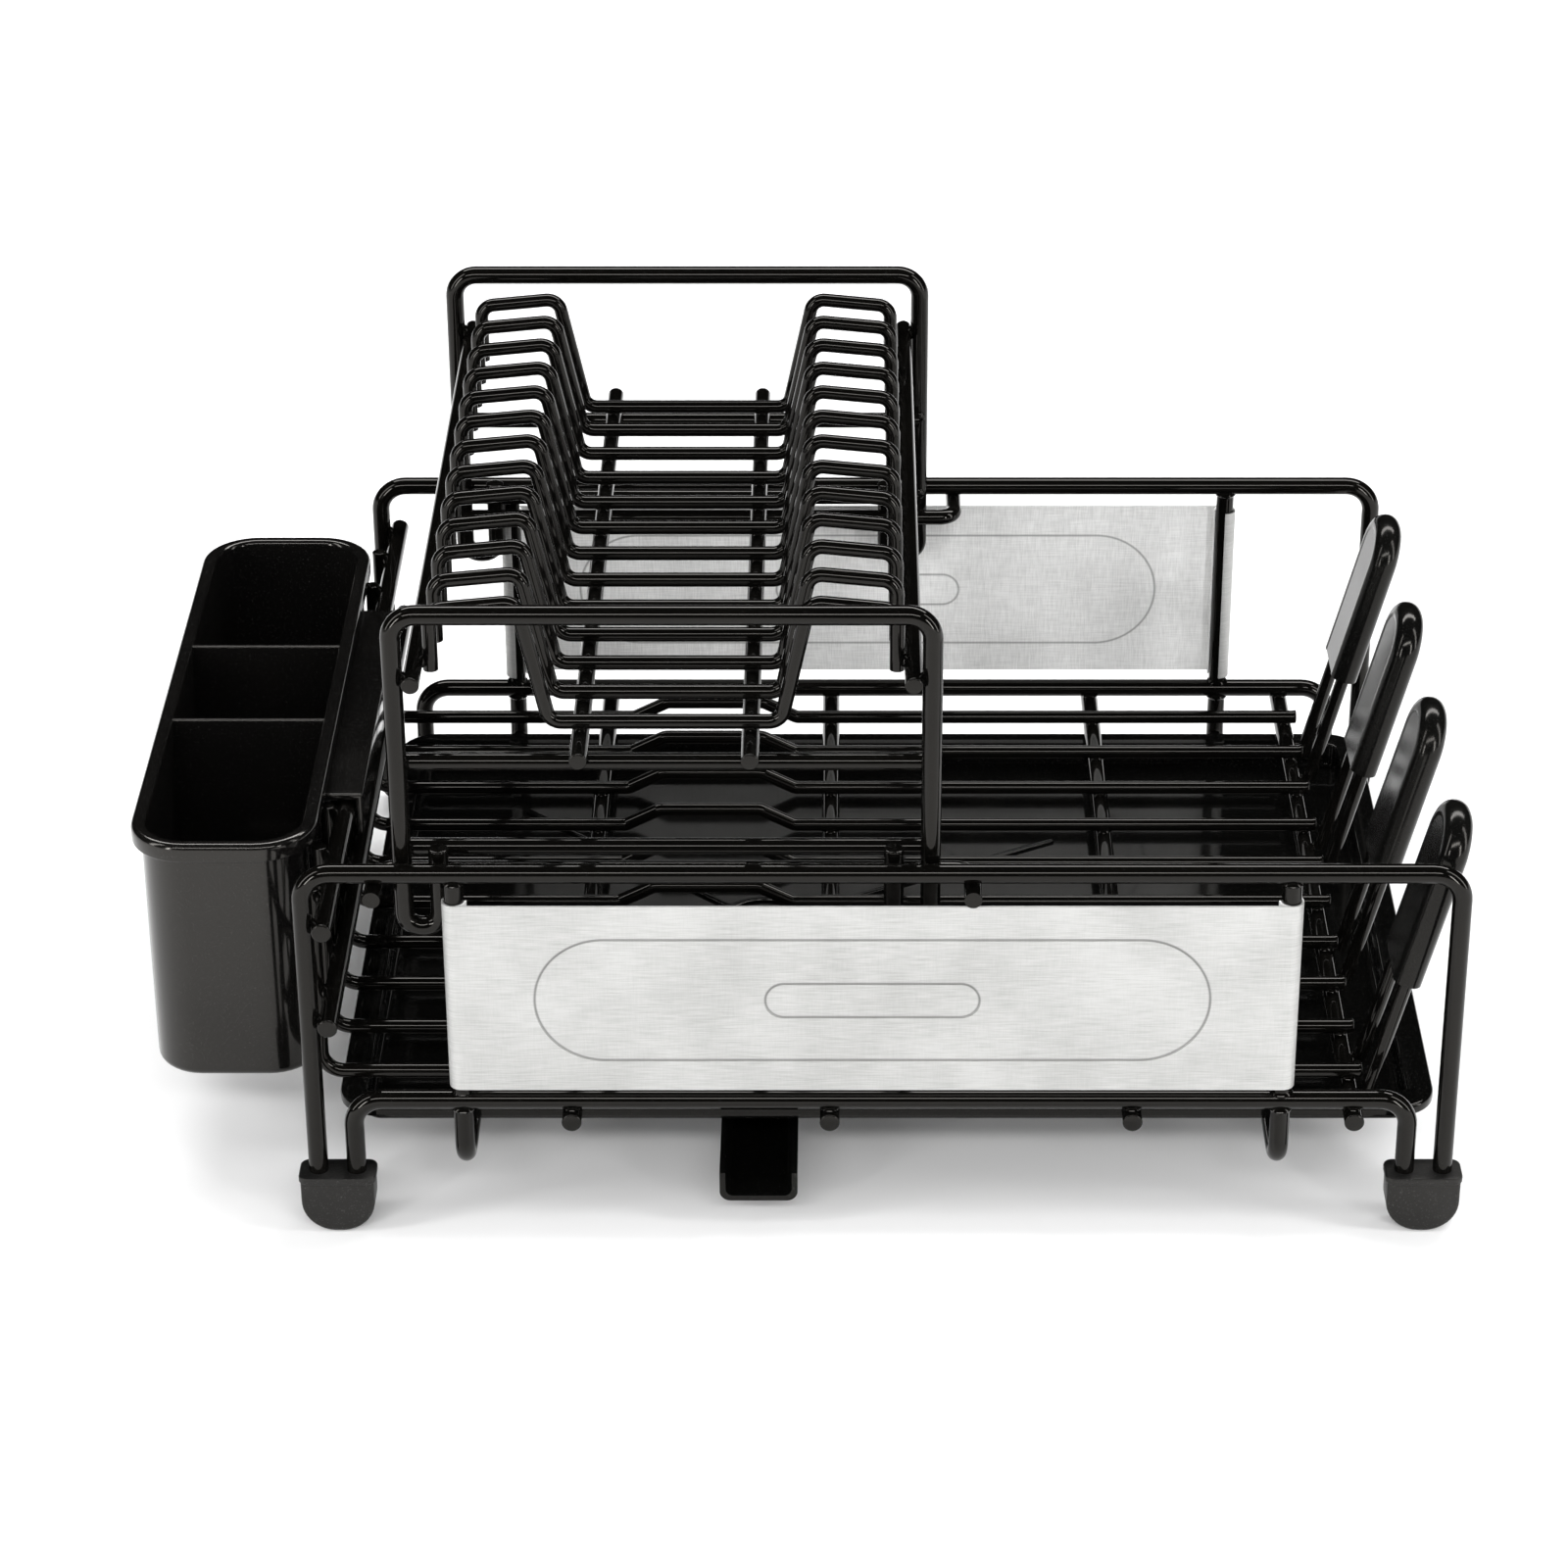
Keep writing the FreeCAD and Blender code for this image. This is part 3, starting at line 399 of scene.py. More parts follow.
dark, pale = [add(tree, "ShaderNodeMix", {0: outside, 6: INNER_WITH_PAINTED_LIGHT[key], 7: SHOW_WITH_PAINTED_SHADE[key]},
                  data_type="RGBA").outputs[2] for key in ("dark", "pale")]
crossing, metallic = [add(tree, "ShaderNodeMix", {0: outside, 2: INNER_WITH_PAINTED_LIGHT[key], 3: SHOW_WITH_PAINTED_SHADE[key]}).outputs[0]
                      for key in ("crossing", "metallic")]
marks = place_group(tree, brush, {"Vector": place, "Dark": dark, "Pale": pale, "Crossing": crossing,
                                  "Depth": SCRATCH_STRENGTH})
groove_shade_masks = [place_group(tree, ring, {"Vector": place, "Middle": RING_MIDDLE, "Half Length": half_length,
                                  "Half Height": half_height, "Line Width": RING_WIDTH}).outputs["Mask"]
         for half_length, half_height in RING_SIZES]
# Painted shade: the brushed colour is darkened along both ring grooves.
both = add(tree, "ShaderNodeMath", {0: groove_shade_masks[0], 1: groove_shade_masks[1]}, operation="MAXIMUM")
strength = add(tree, "ShaderNodeMath", {0: both.outputs[0], 1: GROOVE_SHADE_STRENGTH}, operation="MULTIPLY")
groove_shaded = add(tree, "ShaderNodeMix", {0: strength.outputs[0], 6: marks.outputs["Color"], 7: GROOVE_SHADE_COLOR},
            data_type="RGBA")
shader = tree.nodes["Principled BSDF"]
tree.links.new(groove_shaded.outputs[2], shader.inputs["Base Color"])
tree.links.new(metallic, shader.inputs["Metallic"])
tree.links.new(marks.outputs["Roughness"], shader.inputs["Roughness"])
tree.links.new(marks.outputs["Normal"], shader.inputs["Normal"])
finishes["brushed_panel"] = panel_steel
print("brushed steel with", len(groove_shade_masks), "ring lines")

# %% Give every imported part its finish
slot_of = {part["node"]: part["material_slot"] for part in record["subparts"]}
for name, node in nodes.items():
    for holder in node.material_slots:
        holder.material = finishes[slot_of[name]]
print(len(nodes), "parts finished")

# %% [markdown]
# ## Helpers for new pieces
# A new piece is a plain mesh whose place is in its vertices. One function puts a bmesh into the
# scene: it merges doubles, turns the faces outwards, smooths what meets at a shallow angle, and
# says which body the piece moves with and which material slot it belongs to.

# %% Turn a bmesh into a piece
SHARP = math.radians(38)


def add_piece(name, mesh, slot, body, stands_for=()):
    """Registers a finished mesh as a piece of the rack."""
    piece = bpy.data.objects.new(name, mesh)
    bpy.context.scene.collection.objects.link(piece)
    if not mesh.materials:
        mesh.materials.append(finishes[slot])
    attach(piece, body)
    if stands_for:
        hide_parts(*stands_for)
    print(name, len(mesh.polygons), "faces")
    return piece


def mesh_of(name, solid):
    """Mesh from a bmesh, with clean normals and smooth shading between hard edges."""
    bmesh.ops.remove_doubles(solid, verts=solid.verts, dist=1e-6)
    bmesh.ops.recalc_face_normals(solid, faces=solid.faces)
    mesh = bpy.data.meshes.new(name)
    solid.to_mesh(mesh)
    solid.free()
    mesh.shade_smooth()
    mesh.set_sharp_from_angle(angle=SHARP)
    return mesh


# %% [markdown]
# ## Weld beads and wire ends
# Two round wires that cross touch at a point, and the weld leaves a small saddle of metal in
# the corner between them, which the coating rounds off further. There are over a hundred of
# them, all alike, so they are instances of one small ellipsoid, scattered by Geometry Nodes on
# a cloud of points. The cut ends of the wires are made the same way from a second shape: a
# button with a flat face and a rounded rim, where the coating has run over the cut edge.

# %% A node tree that scatters a shape on points
def scatter_tree():
    """Instances of Shape on points, aimed and sized by the points' own attributes."""
    tree = bpy.data.node_groups.new("scatter_shapes", "GeometryNodeTree")
    tree.interface.new_socket("Geometry", in_out="INPUT", socket_type="NodeSocketGeometry")
    tree.interface.new_socket("Shape", in_out="INPUT", socket_type="NodeSocketObject")
    tree.interface.new_socket("Size", in_out="INPUT", socket_type="NodeSocketFloat")
    tree.interface.new_socket("Size Variation", in_out="INPUT", socket_type="NodeSocketFloat")
    tree.interface.new_socket("Seed", in_out="INPUT", socket_type="NodeSocketInt")
    tree.interface.new_socket("Finish", in_out="INPUT", socket_type="NodeSocketMaterial")
    tree.interface.new_socket("Geometry", in_out="OUTPUT", socket_type="NodeSocketGeometry")
    start, end = add(tree, "NodeGroupInput"), add(tree, "NodeGroupOutput")
    aim = add(tree, "GeometryNodeInputNamedAttribute", {"Name": "aim"}, data_type="FLOAT_VECTOR")
    gauge = add(tree, "GeometryNodeInputNamedAttribute", {"Name": "gauge"}, data_type="FLOAT")
    turn = add(tree, "FunctionNodeAlignRotationToVector", {"Vector": aim.outputs["Attribute"]}, axis="Z")
    variation = start.outputs["Size Variation"]
    less = add(tree, "ShaderNodeMath", {0: variation, 1: -1.0}, operation="MULTIPLY")
    chance = add(tree, "FunctionNodeRandomValue",
                 {2: less.outputs[0], 3: variation, "Seed": start.outputs["Seed"]}, data_type="FLOAT")
    about_one = add(tree, "ShaderNodeMath", {0: chance.outputs[1], 1: 1.0}, operation="ADD")
    scaled = add(tree, "ShaderNodeMath", {0: about_one.outputs[0], 1: gauge.outputs["Attribute"]},
                 operation="MULTIPLY")
    sized = add(tree, "ShaderNodeMath", {0: scaled.outputs[0], 1: start.outputs["Size"]},
                operation="MULTIPLY")
    source = add(tree, "GeometryNodeObjectInfo", {"Object": start.outputs["Shape"]})
    dots = add(tree, "GeometryNodeMeshToPoints", {"Mesh": start.outputs["Geometry"]})
    placed = add(tree, "GeometryNodeInstanceOnPoints",
                 {"Points": dots.outputs["Points"], "Instance": source.outputs["Geometry"],
                  "Rotation": turn.outputs["Rotation"], "Scale": sized.outputs[0]})
    real = add(tree, "GeometryNodeRealizeInstances", {"Geometry": placed.outputs["Instances"]})
    finish = add(tree, "GeometryNodeSetMaterial",
                 {"Geometry": real.outputs["Geometry"], "Material": start.outputs["Finish"]})
    tree.links.new(finish.outputs["Geometry"], end.inputs["Geometry"])
    return tree


scatter = scatter_tree()
print("scatter tree with", len(scatter.nodes), "nodes")


# %% Run the tree and keep a plain mesh
def scattered(name, points, values, body):
    """Piece made by the scatter tree; each point is (place, aim, gauge) in millimetres."""
    cloud = bpy.data.meshes.new(name + "_points")
    cloud.from_pydata([Vector(place) * MM for place, _, _ in points], [], [])
    cloud.attributes.new("aim", "FLOAT_VECTOR", "POINT")
    cloud.attributes.new("gauge", "FLOAT", "POINT")
    for index, (_, direction, size) in enumerate(points):
        cloud.attributes["aim"].data[index].vector = direction
        cloud.attributes["gauge"].data[index].value = size * MM
    holder = bpy.data.objects.new(name + "_source", cloud)
    bpy.context.scene.collection.objects.link(holder)
    step = holder.modifiers.new("scatter", "NODES")
    step.node_group = scatter
    for item in scatter.interface.items_tree:
        if item.in_out == "INPUT" and item.name in values:
            step[item.identifier] = values[item.name]
    bpy.context.view_layer.update()
    seen = holder.evaluated_get(bpy.context.evaluated_depsgraph_get())
    mesh = bpy.data.meshes.new_from_object(seen)
    mesh.name = name
    bpy.data.objects.remove(holder)
    mesh.shade_smooth()
    mesh.set_sharp_from_angle(angle=SHARP)
    return add_piece(name, mesh, "coated_wire", body)


# %% [markdown]
# The two shapes are about one unit in radius, so that a wire's own radius scales them. A shape
# isn't part of the rack, so it is hidden and marked as studio equipment.

# %% The bead and the button
def hidden_shape(name, solid):
    """Object for a tree to copy, which doesn't show itself."""
    shape = bpy.data.objects.new(name, mesh_of(name, solid))
    bpy.context.scene.collection.objects.link(shape)
    shape.hide_render = True
    shape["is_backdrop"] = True
    return shape


def turned(solid, profile, steps, centre=(0, 0)):
    """Adds a surface turned about the Z axis through centre; profile is (radius, height)."""
    rings = []
    for radius, height in profile:
        if radius == 0:
            rings.append([solid.verts.new((*centre, height))] * steps)
            continue
        angles = [2 * math.pi * step / steps for step in range(steps)]
        rings.append([solid.verts.new((centre[0] + radius * math.cos(angle),
                                       centre[1] + radius * math.sin(angle), height))
                      for angle in angles])
    for lower, upper in zip(rings, rings[1:]):
        for step in range(steps):
            corner = []
            for vert in (lower[step], lower[step - 1], upper[step - 1], upper[step]):
                if vert not in corner:
                    corner.append(vert)
            if len(corner) > 2:
                solid.faces.new(corner)


BEAD_WIDE, BEAD_THICK = 0.82, 0.34
BUTTON = [(0, -0.3), (1.0, -0.3), (1.02, -0.02), (0.99, 0.05), (0.93, 0.1), (0.84, 0.125), (0, 0.13)]
BUTTON_STEPS = 24
bead = bmesh.new()
bmesh.ops.create_icosphere(bead, subdivisions=2, radius=1)
bmesh.ops.scale(bead, vec=(BEAD_WIDE, BEAD_WIDE, BEAD_THICK), verts=bead.verts)
bead_shape = hidden_shape("bead_shape", bead)

button = bmesh.new()
turned(button, BUTTON, BUTTON_STEPS)
button_shape = hidden_shape("button_shape", button)
print("bead and button")

# %% [markdown]
# The rack's main measures, in millimetres. Across the rack they are counted from the middle of
# the two side frames, which isn't the middle of the whole rack because the caddy hangs outside.

# %% Measures of the wire rack
frame_low, frame_high = (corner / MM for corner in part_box("front_frame"))
MIDDLE = (frame_low.x + frame_high.x) / 2
SIDE = abs((frame_low.y + frame_high.y) / 2)
HEAVY, RAIL, LIGHT = 4.0, 3.5, 3.0
LOWER_RAIL, TOP_RAIL = 60.0, 165.7


def centre_of(name):
    """Middle of a part's box, in millimetres."""
    low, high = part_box(name)
    return (low + high) / 2 / MM


runners = [centre_of(f"floor_runner_{word}") for word in ("one", "two", "three", "four")]
floor_rows = [centre_of(f"floor_wire_{index}").y for index in range(1, 11)]
plate_rows = [centre_of(f"plate_wire_{index}").y for index in range(1, 14)]
caddy_rails = [centre_of("caddy_rail_high"), centre_of("caddy_rail_low")]
tier_lower = [centre_of("tier_lower_rail_left"), centre_of("tier_lower_rail_right")]
tier_outer = [centre_of("tier_outer_rail_left"), centre_of("tier_outer_rail_right")]
posts = [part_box("front_posts")[0].x / MM + HEAVY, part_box("front_posts")[1].x / MM - HEAVY]
print("frame middle at x =", round(MIDDLE, 1), "and planes at y =", round(SIDE, 1))

# %% Where the wires of the basket touch
UP, ALONG_X, ALONG_Y = (0, 0, 1), (1, 0, 0), (0, 1, 0)
FRAME_BEAD = HEAVY * 1.1
COLLAR = HEAVY * 1.45
HOOK_DROP = 1
basket_welds = []
for runner in runners:
    for row in floor_rows:
        basket_welds.append(((runner.x, row, runner.z + HEAVY), UP, HEAVY))
    for side in (-SIDE, SIDE):
        basket_welds.append(((runner.x, side, runner.z + HEAVY), UP, FRAME_BEAD))
for rail in caddy_rails:
    for row in floor_rows:
        basket_welds.append(((rail.x - HEAVY, row, rail.z), ALONG_X, HEAVY))
    for side in (-SIDE, SIDE):
        basket_welds.append(((rail.x - HEAVY, side, rail.z), ALONG_X, FRAME_BEAD))
for post in posts:
    for side in (-SIDE, SIDE):
        for height in (LOWER_RAIL - HEAVY, LOWER_RAIL + HEAVY, TOP_RAIL - HEAVY):
            basket_welds.append(((post, side, height), UP, COLLAR))
for index in range(1, 5):
    low, high = (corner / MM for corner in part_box(f"cup_hook_{index}"))
    for leg in (low.y + LIGHT, high.y - LIGHT):
        basket_welds.append(((runners[3].x + HEAVY, leg, runners[3].z - HOOK_DROP), ALONG_X, HEAVY))
print(len(basket_welds), "welds in the basket")

# %% Where the wires of the upper rack touch
rack_welds = []
for rail in tier_lower:
    for row in plate_rows:
        rack_welds.append(((rail.x, row, rail.z + RAIL), UP, RAIL))
for rail, inward in zip(tier_outer, (1, -1)):
    for row in plate_rows:
        rack_welds.append(((rail.x + inward * RAIL, row, rail.z), ALONG_X, RAIL))
hoop_low, hoop_high = (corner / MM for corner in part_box("tier_hoop_front"))
hoop_legs = (hoop_low.x + HEAVY, hoop_high.x - HEAVY)
HOOP = abs(centre_of("tier_hoop_front").y)
BAR_HIGH, BAR_MIDDLE, CLIP = 206.8, 168.3, 157.8
PRONG, PRONG_TOP = 14.6, 171.3
for side in (-1, 1):
    for leg, inward, rail in zip(hoop_legs, (1, -1), tier_outer):
        rack_welds.append(((leg + inward * HEAVY, side * HOOP, rail.z), ALONG_X, HEAVY))
        for height in (BAR_HIGH, BAR_MIDDLE, CLIP):
            rack_welds.append(((leg, side * (HOOP - HEAVY), height), ALONG_Y, HEAVY))
        for height in (BAR_MIDDLE, CLIP):
            rack_welds.append(((leg + inward * PRONG, side * (HOOP - HEAVY), height), ALONG_Y, HEAVY))
    for rail in tier_lower:
        rack_welds.append(((rail.x, side * (HOOP - HEAVY - RAIL), BAR_HIGH + RAIL), UP, RAIL))
print(len(rack_welds), "welds in the upper rack")

# %% Make the weld beads
bead_values = {"Shape": bead_shape, "Size": 1.0, "Size Variation": 0.12, "Seed": 4,
               "Finish": finishes["coated_wire"]}
scattered("basket_weld_beads", basket_welds, bead_values, "basket")
scattered("upper_rack_weld_beads", rack_welds, bead_values, "upper_rack")

# %% Where the wires end
def end_pair(name, axis, gauge):
    """The two ends of a straight wire that lies along one axis."""
    low, high = (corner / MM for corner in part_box(name))
    middle = (low + high) / 2
    ends = []
    for corner, sign in ((low, -1), (high, 1)):
        place, aim = middle.copy(), Vector((0, 0, 0))
        place[axis], aim[axis] = corner[axis], sign
        ends.append((place, aim, gauge))
    return ends


basket_ends = []
for word in ("one", "two", "three", "four"):
    basket_ends += end_pair(f"floor_runner_{word}", 1, HEAVY)
for level in ("high", "low"):
    basket_ends += end_pair(f"caddy_rail_{level}", 1, HEAVY)
for index, row in enumerate(floor_rows, start=1):
    low, high = (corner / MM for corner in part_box(f"floor_wire_{index}"))
    basket_ends.append(((high.x, row, runners[0].z + HEAVY + LIGHT), ALONG_X, LIGHT))
    basket_ends.append(((low.x + LIGHT, row, high.z), UP, LIGHT))
rack_ends = []
for end in ("left", "right"):
    rack_ends += end_pair(f"tier_outer_rail_{end}", 1, RAIL)
    rack_ends += end_pair(f"tier_lower_rail_{end}", 1, RAIL)
for side in (-1, 1):
    for leg, inward in zip(hoop_legs, (1, -1)):
        rack_ends.append(((leg + inward * PRONG, side * HOOP, PRONG_TOP), UP, HEAVY))
button_values = {"Shape": button_shape, "Size": 1.0, "Size Variation": 0.0, "Seed": 4,
                 "Finish": finishes["coated_wire"]}
scattered("basket_wire_ends", basket_ends, button_values, "basket")
scattered("upper_rack_wire_ends", rack_ends, button_values, "upper_rack")

# %% [markdown]
# ## The utensil caddy
# The caddy is a deep moulded box. What makes it look moulded is that it has no sharp edge
# anywhere: the rim is rolled over, the floor meets the walls in a curve, and the dividers have
# rounded tops. Bevelling a box would do, but a shell that is drawn as one section and swept
# round a rounded rectangle gives even highlights, because every edge runs along the piece.

# %% Sections and shells
def eased(section, steps=5):
    """Section with its corners rounded; each corner is (out, up, radius) in millimetres."""
    points = []
    for index, (out, up, radius) in enumerate(section):
        corner = Vector((out, up))
        if radius <= 0 or index in (0, len(section) - 1):
            points.append(corner)
            continue
        before = (Vector(section[index - 1][:2]) - corner).normalized()
        after = (Vector(section[index + 1][:2]) - corner).normalized()
        half = before.angle(after) / 2
        angle = math.pi - 2 * half
        reach = radius / math.tan(half)
        centre = corner + (before + after).normalized() * radius / math.sin(half)
        first, last = corner + before * reach - centre, corner + after * reach - centre
        for step in range(steps + 1):
            share = step / steps
            blend = first * math.sin((1 - share) * angle) + last * math.sin(share * angle)
            points.append(centre + blend / math.sin(angle))
    return points


LEAST_BEND = 0.3


def shell(solid, section, half, corner, middle, steps=10):
    """Adds a section swept round a rounded rectangle, with both of its ends closed."""
    loops = []
    for out, up in section:
        bend = max(corner + out, LEAST_BEND)
        reach = (half[0] + out - bend, half[1] + out - bend)
        loop = []
        for quarter, (across, along) in enumerate(((1, 1), (-1, 1), (-1, -1), (1, -1))):
            for step in range(steps + 1):
                angle = math.pi / 2 * (quarter + step / steps)
                loop.append(solid.verts.new((
                    (middle[0] + across * reach[0] + bend * math.cos(angle)) * MM,
                    (middle[1] + along * reach[1] + bend * math.sin(angle)) * MM, up * MM)))
        loops.append(loop)
    for lower, upper in zip(loops, loops[1:]):
        for index in range(len(lower)):
            solid.faces.new((lower[index - 1], lower[index], upper[index], upper[index - 1]))
    solid.faces.new(loops[0])
    solid.faces.new(loops[-1])


BEVEL_OVER = math.radians(30)


def bent_strip(solid, outline, start, end, edge, place=Matrix.Identity(4)):
    """Adds an XZ outline extruded between two depths, with eased edges, moved into place."""
    part = bmesh.new()
    for depth in (start, end):
        for across, up in outline:
            part.verts.new(place @ Vector((across, depth, up)) * MM)
    part.verts.ensure_lookup_table()
    count = len(outline)
    first, second = list(part.verts[:count]), list(part.verts[count:])
    part.faces.new(first)
    part.faces.new(second)
    for index in range(count):
        part.faces.new((first[index - 1], first[index], second[index], second[index - 1]))
    bmesh.ops.recalc_face_normals(part, faces=part.faces)
    sharp = [line for line in part.edges if line.calc_face_angle(0) > BEVEL_OVER]
    bmesh.ops.bevel(part, geom=sharp, offset=edge * MM, segments=3, profile=0.5, affect="EDGES",
                    clamp_overlap=True)
    holder = bpy.data.meshes.new("strip")
    part.to_mesh(holder)
    part.free()
    solid.from_mesh(holder)
    bpy.data.meshes.remove(holder)


# %% The box of the caddy
CADDY_MIDDLE = (MIDDLE - 267.5, 0)
CADDY_HALF, CADDY_CORNER = (34.0, 139.4), 20.0
CADDY_LOW, CADDY_HIGH, CADDY_WALL, CADDY_LIP = 45.0, 157.5, 2.2, 3.9
LIP_LOW, CADDY_FLOOR = CADDY_HIGH - 8, CADDY_LOW + CADDY_WALL
caddy_section = eased([
    (-14, CADDY_LOW, 0), (0, CADDY_LOW, 4.0), (0, LIP_LOW, 0.8), (CADDY_LIP, LIP_LOW, 0.9),
    (CADDY_LIP, CADDY_HIGH, 2.4), (-CADDY_WALL, CADDY_HIGH, 2.2), (-CADDY_WALL, CADDY_FLOOR, 5.0),
    (-16, CADDY_FLOOR, 0)])
caddy = bmesh.new()
shell(caddy, caddy_section, CADDY_HALF, CADDY_CORNER, CADDY_MIDDLE)
print("caddy section with", len(caddy_section), "points")

# %% Dividers and hanger
DIVIDERS = (-32.0, 36.0)
DIVIDER_TOP, DIVIDER_LOW = CADDY_HIGH - 1.2, CADDY_LOW + 1
DIVIDER_HALF, DIVIDER_CORNER, DIVIDER_STEPS = (CADDY_HALF[0] - 1, 1.3), 1.0, 3
divider_section = eased([(-0.9, DIVIDER_LOW, 0), (0, DIVIDER_LOW, 0.3), (0, DIVIDER_TOP, 0.9),
                         (-0.9, DIVIDER_TOP, 0)])
for along in DIVIDERS:
    shell(caddy, divider_section, DIVIDER_HALF, DIVIDER_CORNER, (CADDY_MIDDLE[0], along), DIVIDER_STEPS)

rail = caddy_rails[0]
RAIL_GAP = 0.4
HANGER_SHEET, HANGER_DROP, HANGER_HALF, HANGER_EASE = 3.0, 16.0, 85, 0.9
shelf_low, shelf_high = rail.z + HEAVY + RAIL_GAP, rail.z + HEAVY + RAIL_GAP + HANGER_SHEET
lip_near, lip_far = rail.x + HEAVY + RAIL_GAP, rail.x + HEAVY + RAIL_GAP + HANGER_SHEET
lip_low = shelf_low - HANGER_DROP
in_wall = CADDY_MIDDLE[0] + CADDY_HALF[0] - 1
hanger = [(in_wall, shelf_low), (lip_near, shelf_low), (lip_near, lip_low), (lip_far, lip_low),
          (lip_far, shelf_high), (in_wall, shelf_high)]
bent_strip(caddy, hanger, -HANGER_HALF, HANGER_HALF, HANGER_EASE)
add_piece("caddy_moulding", mesh_of("caddy_moulding", caddy), "caddy_plastic", "utensil_caddy",
          ["utensil_caddy"])

# %% [markdown]
# ## The drip tray
# The tray is moulded too, so it is another shell: a shallow basin, a flat flange round it and a
# short skirt that stiffens the edge. Four ribs on the floor lead to the drain. The drain hole
# is cut with a Boolean, and the ring round it and the neck below it are turned on a lathe.

# %% The basin of the tray
TRAY_MIDDLE, TRAY_HALF, TRAY_CORNER = (MIDDLE + 2.7, -4.0), (225.7, 162.0), 17.0
TRAY_HIGH, TRAY_LOW, TRAY_WALL, TRAY_FLANGE, TRAY_SKIRT = 47.2, 34.4, 1.6, 10.0, 4.4
TRAY_FLOOR, UNDER_FLANGE, SKIRT_LOW = TRAY_LOW + TRAY_WALL, TRAY_HIGH - TRAY_WALL, TRAY_HIGH - TRAY_SKIRT
INNER_WALL = -TRAY_FLANGE - TRAY_WALL
tray_section = eased([
    (-14, TRAY_LOW, 0), (-TRAY_FLANGE, TRAY_LOW, 2.2), (-TRAY_FLANGE, UNDER_FLANGE, 0.8),
    (-TRAY_WALL, UNDER_FLANGE, 0.6), (-TRAY_WALL, SKIRT_LOW, 0.4), (0, SKIRT_LOW, 0.4),
    (0, TRAY_HIGH, 1.5), (INNER_WALL, TRAY_HIGH, 1.5), (INNER_WALL, TRAY_FLOOR, 2.2),
    (-16, TRAY_FLOOR, 0)], 4)
basin = bmesh.new()
shell(basin, tray_section, TRAY_HALF, TRAY_CORNER, TRAY_MIDDLE)
basin_holder = bpy.data.objects.new("basin", mesh_of("basin", basin))
bpy.context.scene.collection.objects.link(basin_holder)
print("tray section with", len(tray_section), "points")

# %% Cut the drain hole
DRAIN = (MIDDLE - 50.0, 0.0)
DRAIN_RADIUS, DRILL_LENGTH, ROUND_STEPS = 0.010, 0.02, 48
drill = bmesh.new()
bmesh.ops.create_cone(drill, cap_ends=True, segments=ROUND_STEPS, radius1=DRAIN_RADIUS,
                      radius2=DRAIN_RADIUS, depth=DRILL_LENGTH,
                      matrix=Matrix.Translation(Vector((*DRAIN, TRAY_LOW)) * MM))
drill_holder = bpy.data.objects.new("drill", mesh_of("drill", drill))
bpy.context.scene.collection.objects.link(drill_holder)
hole = basin_holder.modifiers.new("drain_hole", "BOOLEAN")
hole.object = drill_holder
hole.solver = "EXACT"
bpy.context.view_layer.update()
seen = basin_holder.evaluated_get(bpy.context.evaluated_depsgraph_get())
cut_basin = bpy.data.meshes.new_from_object(seen)
bpy.data.objects.remove(basin_holder)
bpy.data.objects.remove(drill_holder)
print("basin with a drain hole,", len(cut_basin.polygons), "faces")

# %% Drain ring and neck
RING = [(19, -0.2), (19, 0.9), (19.4, 1.2), (21.6, 1.2), (22, 0.9), (22, -0.2), (19, -0.2)]
NECK = [(10, 20.6), (12.5, 20.6), (12.8, 20.9), (12.8, 21.9), (12, 22.5), (12, 34.6), (10, 34.6),
        (10, 20.6)]
drain_centre = [value * MM for value in DRAIN]
ring_profile = [(radius * MM, (TRAY_FLOOR + rise) * MM) for radius, rise in RING]
neck_profile = [(radius * MM, height * MM) for radius, height in NECK]
tray = bmesh.new()
tray.from_mesh(cut_basin)
turned(tray, ring_profile, ROUND_STEPS, drain_centre)
turned(tray, neck_profile, ROUND_STEPS, drain_centre)
print("ring and neck on the drain")

# %% Ribs from the drain to the corners
RIB_LOW, RIB_TOP, RIB_HALF = TRAY_FLOOR - 0.3, TRAY_FLOOR + 1.2, 1.5
RIB_START, RIB_END, RIB_EASE = 22, 150, 0.4
rib_outline = [(-RIB_HALF, RIB_LOW), (RIB_HALF, RIB_LOW), (RIB_HALF, RIB_TOP), (-RIB_HALF, RIB_TOP)]
for across in (-1, 1):
    for along in (-1, 1):
        run = TRAY_MIDDLE[0] + across * TRAY_HALF[0] - DRAIN[0]
        rise = TRAY_MIDDLE[1] + along * TRAY_HALF[1] - DRAIN[1]
        turn = Matrix.Rotation(math.atan2(rise, run) - math.pi / 2, 4, "Z")
        bent_strip(tray, rib_outline, RIB_START, RIB_END, RIB_EASE,
                   Matrix.Translation((*DRAIN, 0)) @ turn)
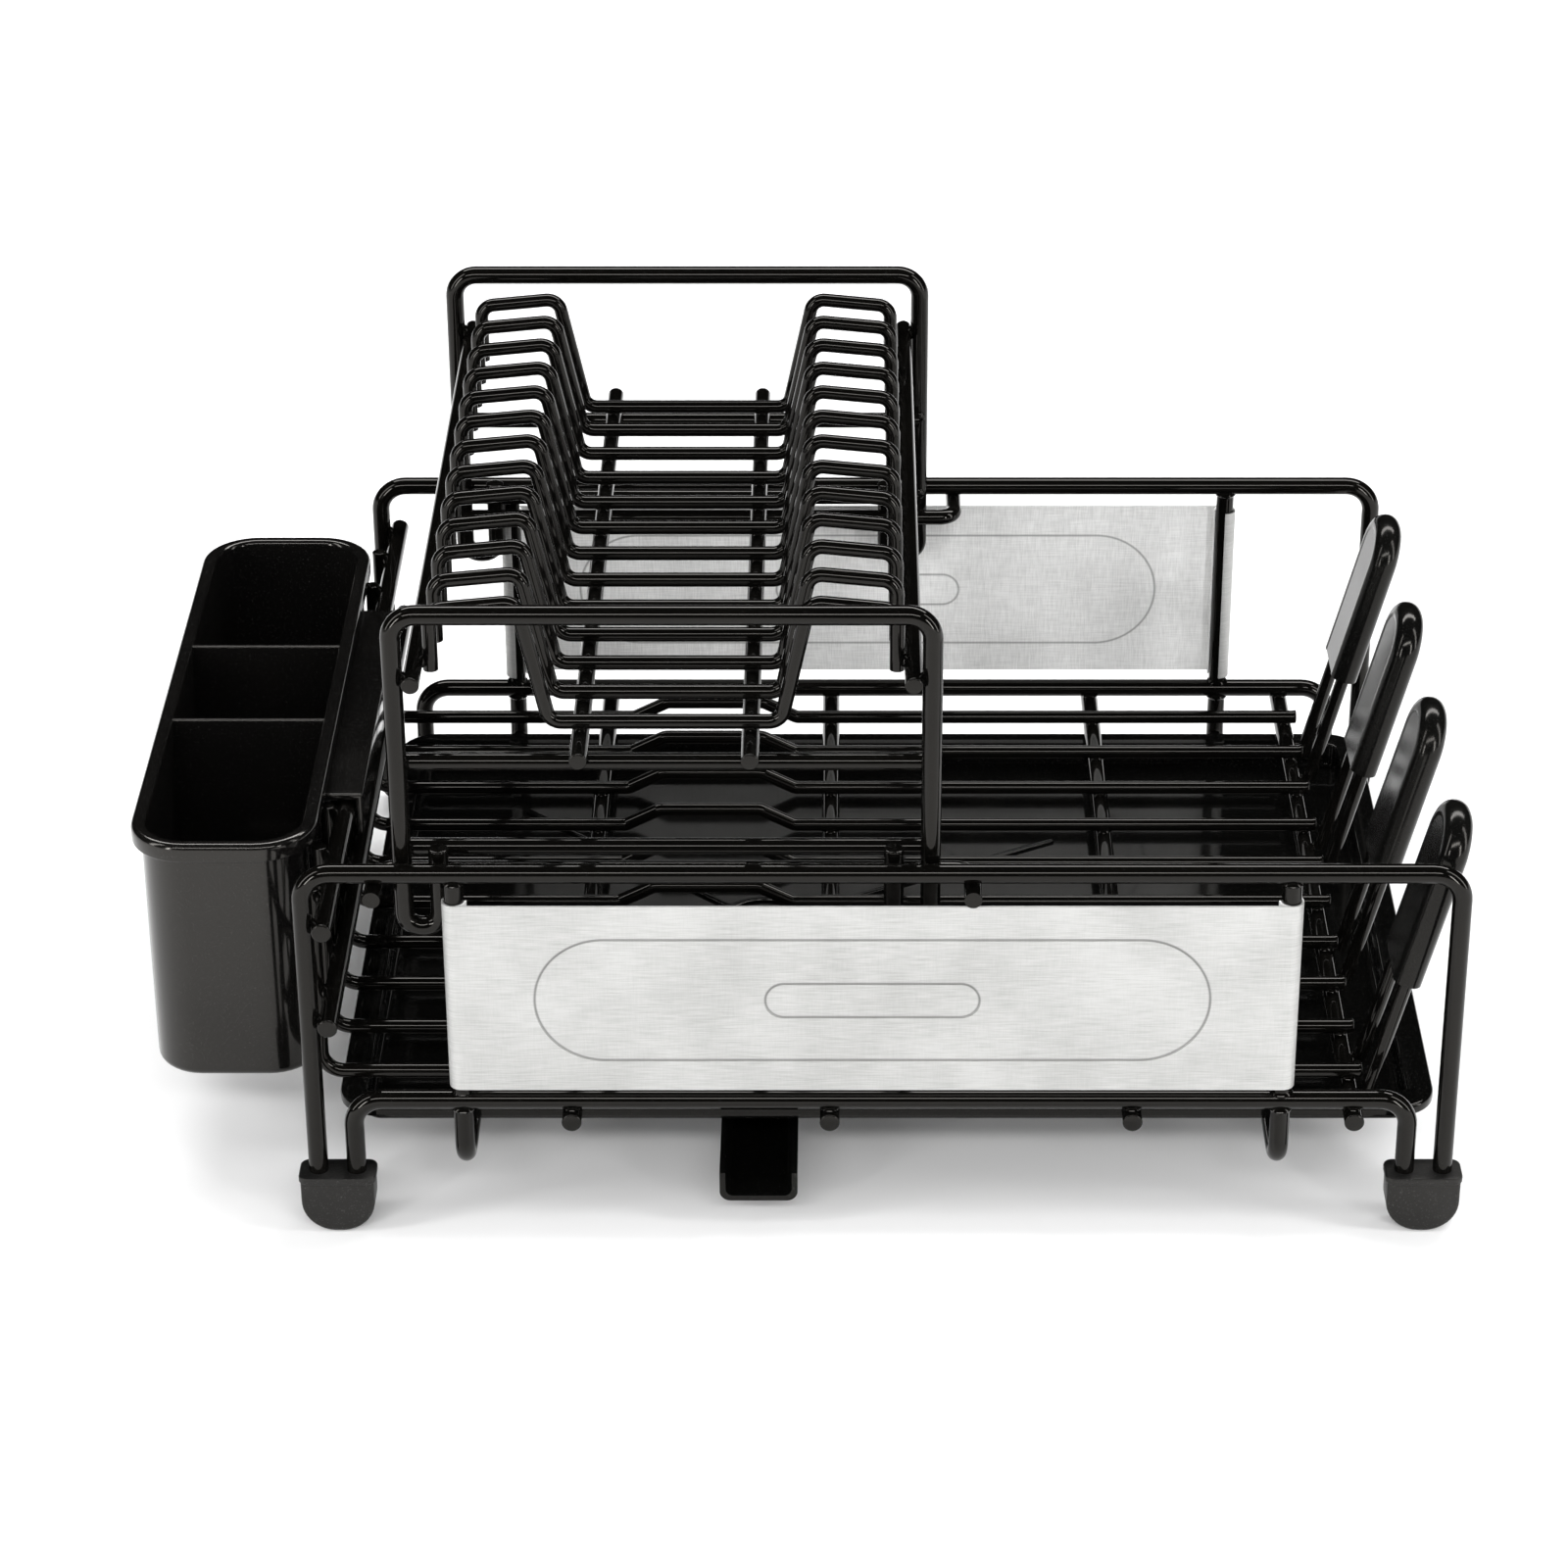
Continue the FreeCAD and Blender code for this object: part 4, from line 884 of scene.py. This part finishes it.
add_piece("tray_moulding", mesh_of("tray_moulding", tray), "tray_plastic", "drip_tray", ["drip_tray"])

# %% [markdown]
# ## The feet
# Each foot is a boot of soft plastic pushed over the bottom bend of a frame. It is a U seen from
# the front, with rounded edges all round and a thicker lip where the mould parts. It is drawn
# as an outline, extruded, and its edges are eased.

# %% Make the feet
FOOT_REACH = 222.2
FOOT_HALF, FOOT_HIGH, FOOT_DEEP, FOOT_ROUND, FOOT_EASE = 15.0, 26.0, 14.0, 13.8, 1.3
BOOT_TOP = FOOT_HIGH - 0.2
LIP, LIP_HIGH, LIP_CORNER, LIP_STEPS = 0.8, 3.0, 3.0, 6
QUARTER_STEPS = 12


def boot_outline(middle):
    """U outline with a round bottom, from the top left, down and up again."""
    points = [(middle - FOOT_HALF, BOOT_TOP)]
    for end, quarter in ((-1, 180), (1, 270)):
        for step in range(QUARTER_STEPS + 1):
            angle = math.radians(quarter + 90 * step / QUARTER_STEPS)
            points.append((middle + end * (FOOT_HALF - FOOT_ROUND) + FOOT_ROUND * math.cos(angle),
                           FOOT_ROUND + FOOT_ROUND * math.sin(angle)))
    return points + [(middle + FOOT_HALF, BOOT_TOP)]


lip_section = eased([(-5, FOOT_HIGH - LIP_HIGH, 0), (LIP, FOOT_HIGH - LIP_HIGH, 0.5),
                     (LIP, FOOT_HIGH, 0.8), (-3, FOOT_HIGH, 0)])
for side, sign in (("front", -1), ("rear", 1)):
    near, far = sign * SIDE - FOOT_DEEP / 2, sign * SIDE + FOOT_DEEP / 2
    for end, end_sign in (("left", -1), ("right", 1)):
        middle = MIDDLE + end_sign * FOOT_REACH
        boot = bmesh.new()
        bent_strip(boot, boot_outline(middle), near, far, FOOT_EASE)
        shell(boot, lip_section, (FOOT_HALF, FOOT_DEEP / 2), LIP_CORNER, (middle, sign * SIDE),
              LIP_STEPS)
        name = f"boot_{side}_{end}"
        add_piece(name, mesh_of(name, boot), "foot_plastic", "basket", [f"foot_{side}_{end}"])

# %% Measure the bounds of the shown pieces
low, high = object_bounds()
